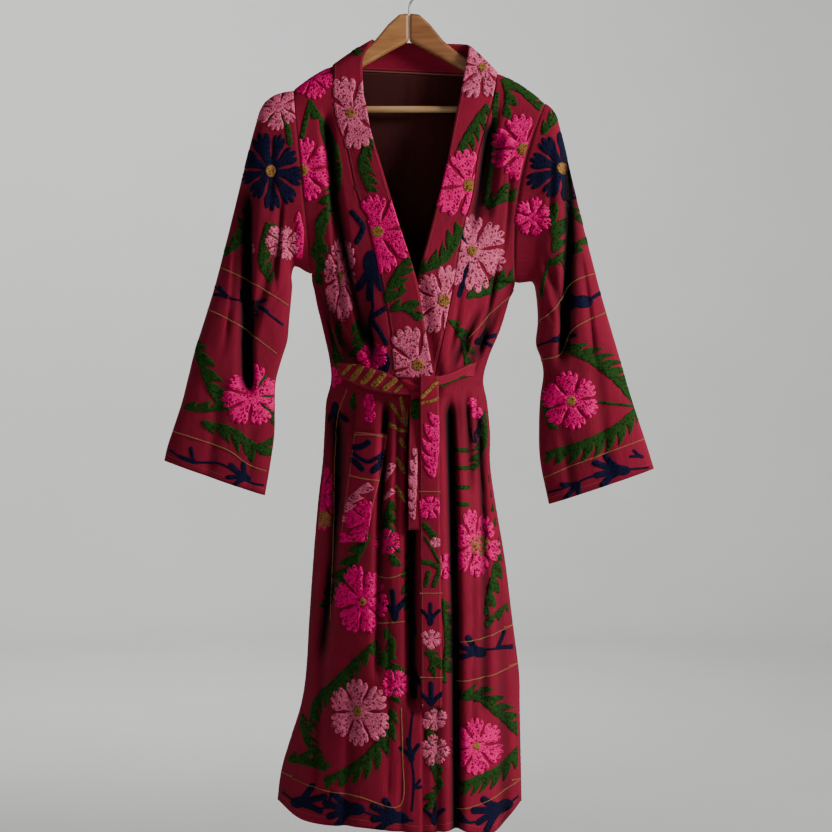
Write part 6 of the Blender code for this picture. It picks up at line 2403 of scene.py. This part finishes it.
def finer(loop: list[Flat], step: float) -> list[Flat]:
    """Put points on a loop, no further apart than a step.

    Args:
        loop: the loop.
        step: the largest distance.

    Returns:
        The finer loop.
    """
    found = []
    for a, b in zip(loop, loop[1:] + loop[:1]):
        count = max(1, math.ceil(math.dist(a, b) / step))
        found += [(mix(a[0], b[0], i / count), mix(a[1], b[1], i / count)) for i in range(count)]
    return found


@dataclass
class Embroidery:
    """Chain-stitched motifs, raised on the cloth and cut at each piece's seams."""

    finishes: Finishes
    step: float = 0.0035
    sink: float = 0.0005
    lines: list[list[Vector]] = field(default_factory=list)

    def cover(self, ground: Ground, motifs: Sequence[Motif]) -> None:
        """Embroider one face.

        Args:
            ground: the face.
            motifs: what lies on it.
        """
        loops: dict[Shade, list[list[Flat]]] = {}
        for motif in motifs:
            if isinstance(motif, Line):
                self.lines.append(self.path(ground, motif.points))
                continue
            for shade, found in motif.loops().items():
                for loop in found:
                    loops.setdefault(shade, []).append(counter_clockwise(finer(loop, self.step)))
        for shade, found in loops.items():
            self.patch(ground, shade, found)

    @staticmethod
    def path(ground: Ground, points: Sequence[Flat]) -> list[Vector]:
        """Lay a line of stitches on a face.

        Args:
            ground: the face.
            points: the few points that the line passes, in mm.

        Returns:
            Its path in space.
        """
        length = sum(math.dist(a, b) for a, b in zip(points, points[1:]))
        count = max(2, int(length / LINE_STEP_MM))
        return [ground.place(place.x, place.y, LINE_LIFT) for place, _ in spine(points, count)]

    def patch(self, ground: Ground, shade: Shade, loops: list[list[Flat]]) -> None:
        """Make the raised stitching of one thread on one face.

        Args:
            ground: the face.
            shade: the thread.
            loops: the outlines that it fills.
        """
        places, faces = list(ground.edge), [list(range(len(ground.edge)))]
        for loop in loops:
            faces.append(list(range(len(places), len(places) + len(loop))))
            places += loop
        outline = len(places)
        boxes = [(min(p[0] for p in loop), max(p[0] for p in loop), min(p[1] for p in loop),
                  max(p[1] for p in loop)) for loop in loops]
        places += [p for p in ground.flat
                   if any(b[0] < p[0] < b[1] and b[2] < p[1] < b[3] for b in boxes)]
        flat, _, tris, sources, _, inside = delaunay_2d_cdt([Vector(p) for p in places], [], faces, 1, 1e-7)
        kept = [tri for tri, owners in zip(tris, inside) if 0 in owners and len(owners) > 1]
        if not kept:
            return
        used = sorted({i for tri in kept for i in tri})
        number = {old: new for new, old in enumerate(used)}
        raised = shade.value[2] * MM
        points = [ground.place(flat[i].x, flat[i].y, raised) for i in used]
        order = 1 if ground.facing < 0 else -1
        mesh = bpy.data.meshes.new(f"{ground.name}_{shade.name.lower()}")
        mesh.from_pydata(points, [], [[number[i] for i in tri][::order] for tri in kept])
        layer = mesh.uv_layers.new(name="UVMap")
        for loop in mesh.loops:
            spot = flat[used[loop.vertex_index]]
            layer.data[loop.index].uv = (spot.x, spot.y)
        rim = mesh.attributes.new("rim", "FLOAT", "POINT")
        for new, old in enumerate(used):
            source = sources[old]
            rim.data[new].value = 1.0 if not source or min(source) < outline else 0.0
        mesh.shade_smooth()
        shade_folds(mesh, ground.where)
        mesh.materials.append(self.finishes.thread[shade])
        made = settle(bpy.data.objects.new(mesh.name, mesh))
        wall = made.modifiers.new("raise", "SOLIDIFY")
        wall.thickness = raised + self.sink
        wall.offset = -1.0
        wall.use_even_offset = False
        LOG.info("%s: %d faces", made.name, len(kept))


class Stitch(NamedTuple):
    """One kind of row: the distance between its stitches, their length and their width."""

    pitch: float
    length: float
    width: float


LINE_STITCH = Stitch(0.0028, 0.0036, 0.0021)
SEAM_STITCH = Stitch(0.0022, 0.0040, 0.0028)
TOP_STITCH = Stitch(0.0034, 0.0026, 0.0009)
POCKET_STITCH = Stitch(0.0028, 0.0032, 0.0018)
STITCH_UNEVEN = (0.88, 1.10)


class Stitching:
    """Rows of chain stitch along paths, from one Geometry Nodes tree."""

    def __init__(self) -> None:
        """Make the tree."""
        self.tree = self.make_tree()

    @staticmethod
    def make_tree() -> bpy.types.NodeTree:
        """Make the tree: a path in, a stitch on each step of it out.

        Returns:
            The tree.
        """
        tree = bpy.data.node_groups.new("chain_stitches", "GeometryNodeTree")
        face = tree.interface
        face.new_socket("Path", in_out="INPUT", socket_type="NodeSocketGeometry")
        for name, value in zip(("Pitch", "Length", "Width"), LINE_STITCH):
            socket = face.new_socket(name, in_out="INPUT", socket_type="NodeSocketFloat")
            socket.default_value = value
        face.new_socket("Seed", in_out="INPUT", socket_type="NodeSocketInt").default_value = STITCH_SEED
        face.new_socket("Thread", in_out="INPUT", socket_type="NodeSocketMaterial")
        face.new_socket("Stitches", in_out="OUTPUT", socket_type="NodeSocketGeometry")
        nodes, links = tree.nodes, tree.links
        source = nodes.new("NodeGroupInput")
        target = nodes.new("NodeGroupOutput")
        curve = nodes.new("GeometryNodeMeshToCurve")
        steps = nodes.new("GeometryNodeResampleCurve")
        steps.mode = "LENGTH"
        stitch = nodes.new("GeometryNodeMeshIcoSphere")
        stitch.inputs["Radius"].default_value = 0.5
        size = nodes.new("ShaderNodeCombineXYZ")
        tangent = nodes.new("GeometryNodeInputTangent")
        turn = nodes.new("FunctionNodeAlignRotationToVector")
        turn.axis = "X"
        copies = nodes.new("GeometryNodeInstanceOnPoints")
        real = nodes.new("GeometryNodeRealizeInstances")
        round_off = nodes.new("GeometryNodeSetShadeSmooth")
        dress = nodes.new("GeometryNodeSetMaterial")
        links.new(source.outputs["Path"], curve.inputs["Mesh"])
        links.new(curve.outputs["Curve"], steps.inputs["Curve"])
        links.new(source.outputs["Pitch"], steps.inputs["Length"])
        links.new(source.outputs["Length"], size.inputs[0])
        links.new(source.outputs["Width"], size.inputs[1])
        links.new(source.outputs["Width"], size.inputs[2])
        links.new(tangent.outputs[0], turn.inputs["Vector"])
        links.new(steps.outputs["Curve"], copies.inputs["Points"])
        links.new(stitch.outputs["Mesh"], copies.inputs["Instance"])
        links.new(turn.outputs[0], copies.inputs["Rotation"])
        uneven = nodes.new("FunctionNodeRandomValue")
        uneven.inputs[2].default_value = STITCH_UNEVEN[0]
        uneven.inputs[3].default_value = STITCH_UNEVEN[1]
        vary = nodes.new("ShaderNodeVectorMath")
        vary.operation = "SCALE"
        links.new(source.outputs["Seed"], uneven.inputs["Seed"])
        links.new(size.outputs[0], vary.inputs[0])
        links.new(uneven.outputs[1], vary.inputs["Scale"])
        links.new(vary.outputs[0], copies.inputs["Scale"])
        links.new(copies.outputs["Instances"], real.inputs[0])
        links.new(real.outputs[0], round_off.inputs[0])
        links.new(round_off.outputs[0], dress.inputs["Geometry"])
        links.new(source.outputs["Thread"], dress.inputs["Material"])
        links.new(dress.outputs[0], target.inputs[0])
        return tree

    def sew(self, name: str, paths: Sequence[Sequence[Vector]], stitch: Stitch,
            thread: bpy.types.Material) -> None:
        """Sew along paths.

        Args:
            name: the new piece's name.
            paths: where the rows run.
            stitch: the kind of row.
            thread: its material.
        """
        points, edges = [], []
        for path in paths:
            edges += [(len(points) + i, len(points) + i + 1) for i in range(len(path) - 1)]
            points += path
        mesh = bpy.data.meshes.new(name + "_path")
        mesh.from_pydata(points, edges, [])
        guide = bpy.data.objects.new(name + "_path", mesh)
        bpy.context.scene.collection.objects.link(guide)
        modifier = guide.modifiers.new("stitches", "NODES")
        modifier.node_group = self.tree
        values = {"Pitch": stitch.pitch, "Length": stitch.length, "Width": stitch.width, "Thread": thread}
        for item in self.tree.interface.items_tree:
            if item.in_out == "INPUT" and item.name in values:
                modifier[item.identifier] = values[item.name]
        graph = bpy.context.evaluated_depsgraph_get()
        sewn = bpy.data.meshes.new_from_object(guide.evaluated_get(graph))
        bpy.data.objects.remove(guide, do_unlink=True)
        sewn.name = name
        if not sewn.materials:
            sewn.materials.append(thread)
        made = settle(bpy.data.objects.new(name, sewn))
        LOG.info("%s: %d faces", made.name, len(sewn.polygons))


def half_tube(sheet: Sheet, front: bool) -> Grid:
    """The front or the back half of a sleeve's rows.

    Args:
        sheet: the sleeve.
        front: whether it is the front half.

    Returns:
        The rows.
    """
    around = len(sheet.rows[0])
    if front:
        return [row[:around // 2 + 1] for row in sheet.rows]
    return [row[around // 2:] + row[:1] for row in sheet.rows]


def seam_paths(body: BodyPanels, sleeves: Sleeves, collar: CollarBand) -> list[list[Vector]]:
    """Where pieces are sewn together: armholes, shoulders, sides and neck.

    Args:
        body: the fronts and the back.
        sleeves: the sleeves.
        collar: the bands.

    Returns:
        The rows of stitches.
    """
    paths = []
    for sleeve in (sleeves.right, sleeves.left):
        paths.append(sleeve.rows[0] + [sleeve.rows[0][0]])
    for front, end in ((body.front_right, 0), (body.front_left, -1)):
        paths.append(list(front.rows[0]))
        below = [row for row in front.rows if row[0].z < front.rows[0][0].z - SIDE_SEAM_START]
        side = [row[0].copy() for row in below]
        behind = {round(row[end].z, 4): row[end] for row in body.back.rows}
        for point in side:
            twin = min(behind.values(), key=lambda other: (other - point).length)
            point.y = (point.y + twin.y) / 2
        paths.append(side)
    paths.append([row[0] for row in collar.neck.rows])
    return paths


def edge_paths(grounds: dict[str, Ground]) -> list[list[Vector]]:
    """Rows of top stitching a few millimetres inside the edges of the pieces.

    Args:
        grounds: the embroidered faces by name.

    Returns:
        The rows of stitches.
    """
    paths = []

    def run(name: str, points: Sequence[Vector]) -> None:
        """Lay one row on a face."""
        ground = grounds[name]
        paths.append([ground.place(point.x, point.z, TOP_LIFT) for point in points])

    for name in ("band_right_work", "band_left_work", "band_neck_work"):
        rows = grounds[name].rows
        for share in (BAND_STITCH_IN, 1 - BAND_STITCH_IN):
            run(name, [row[0].lerp(row[-1], share) for row in rows])
    for name in ("front_right_work", "front_left_work", "back_work"):
        rows = grounds[name].rows
        run(name, [point + Vector((0, 0, HEM_STITCH)) for point in rows[-1][1:-1]])
    for name in ("belt_right_work", "belt_left_work", "belt_back_work", "belt_tail_work", "belt_under_work"):
        rows = grounds[name].rows
        for share in (BELT_STITCH_IN, 1 - BELT_STITCH_IN):
            run(name, [row[0].lerp(row[-1], share) for row in rows])
    for side in ("right", "left"):
        for name in (f"sleeve_{side}_work", f"sleeve_{side}_back_work"):
            rows = grounds[name].rows
            run(name, [last.lerp(above, CUFF_STITCH / (last - above).length)
                       for last, above in zip(rows[-1], rows[-4])][2:-2])
    return paths


def pocket_path(ground: Ground) -> list[list[Vector]]:
    """The row of stitches round the pocket, close to its edge.

    Args:
        ground: the pocket's face.

    Returns:
        The one row, closed.
    """
    rows = ground.rows
    around = [row[0].lerp(row[-1], POCKET_STITCH_IN) for row in rows[1:-1]]
    around += [low.lerp(above, POCKET_ROW_IN) for low, above in zip(rows[-1], rows[-2])][1:-1]
    around += [row[0].lerp(row[-1], 1 - POCKET_STITCH_IN) for row in rows[-2:0:-1]]
    around += [top.lerp(below, POCKET_ROW_IN) for top, below in zip(rows[0], rows[1])][-2:0:-1]
    return [[ground.place(point.x, point.z, TOP_LIFT) for point in around + around[:1]]]


def dress_grounds(finishes: Finishes, body: BodyPanels, sleeves: Sleeves, collar: CollarBand, pocket: Pocket,
                  belt: TieBelt) -> None:
    """Embroider every face that shows, and sew the lines and the top stitching.

    Args:
        finishes: the materials.
        body: the fronts and the back.
        sleeves: the sleeves.
        collar: the bands.
        pocket: the pocket.
        belt: the belt's stretches.
    """
    work = Embroidery(finishes)
    half = CLOTH / 2
    tubes = (("right", sleeves.right, SLEEVE_RIGHT_MOTIFS), ("left", sleeves.left, SLEEVE_LEFT_MOTIFS))
    faces = (
        (Ground("front_right_work", body.front_right.rows, -1, half, Place.FRONT, (1, 0)),
         FRONT_RIGHT_MOTIFS),
        (Ground("front_left_work", body.front_left.rows, -1, half, Place.FRONT, (1, 0)), FRONT_LEFT_MOTIFS),
        (Ground("back_work", body.back.rows, 1, half, Place.BACK, (1, 1)), BACK_MOTIFS),
        *((Ground(f"sleeve_{side}_work", half_tube(sheet, True), -1, half, Place.SLEEVE, SLEEVE_MARGIN),
           motifs) for side, sheet, motifs in tubes),
        *((Ground(f"sleeve_{side}_back_work", half_tube(sheet, False), 1, half, margin=SLEEVE_MARGIN),
           recolour(motifs)) for side, sheet, motifs in tubes),
        (Ground("band_right_work", collar.right.rows, -1, BAND / 2), BAND_RIGHT_MOTIFS),
        (Ground("band_left_work", collar.left.rows, -1, BAND / 2), BAND_LEFT_MOTIFS),
        (Ground("band_neck_work", collar.neck.rows, -1, BAND / 2), BAND_NECK_MOTIFS),
        (Ground("pocket_work", pocket.sheet.rows, -1, POCKET_CLOTH / 2), POCKET_MOTIFS),
        (Ground("belt_right_work", belt.right.rows, -1, BELT / 2), BELT_RIGHT_MOTIFS),
        (Ground("belt_left_work", belt.left.rows, -1, BELT / 2), BELT_LEFT_MOTIFS),
        (Ground("belt_back_work", belt.back.rows, 1, BELT / 2), BELT_BACK_MOTIFS),
        (Ground("belt_tail_work", belt.tail.rows, -1, belt.end_cloth / 2), KNOT_TAIL_MOTIFS),
        (Ground("belt_under_work", belt.under.rows, -1, belt.end_cloth / 2), UNDER_TAIL_MOTIFS),
    )
    for ground, motifs in faces:
        work.cover(ground, motifs)
    sewing = Stitching()
    sewing.sew("tan_lines", work.lines, LINE_STITCH, finishes.line_thread)
    sewing.sew("seams", seam_paths(body, sleeves, collar), SEAM_STITCH, finishes.seam_thread)
    grounds = {ground.name: ground for ground, _ in faces}
    sewing.sew("top_stitching", edge_paths(grounds), TOP_STITCH, finishes.top_thread)
    sewing.sew("pocket_edging", pocket_path(grounds["pocket_work"]), POCKET_STITCH, finishes.top_thread)


def main() -> None:
    """Build the coat's looks, piece by piece."""
    logging.basicConfig(level=logging.INFO, format="%(name)s: %(message)s")
    finishes = Finishes()
    Studio().build()
    body = BodyPanels(finishes)
    body.build()
    sleeves = Sleeves(finishes)
    sleeves.build()
    collar = CollarBand(finishes)
    collar.build()
    pocket = Pocket(finishes)
    pocket.build()
    belt = TieBelt(finishes)
    belt.build()
    Hanger(finishes).build()
    dress_grounds(finishes, body, sleeves, collar, pocket, belt)


if __name__ == "__main__":
    main()
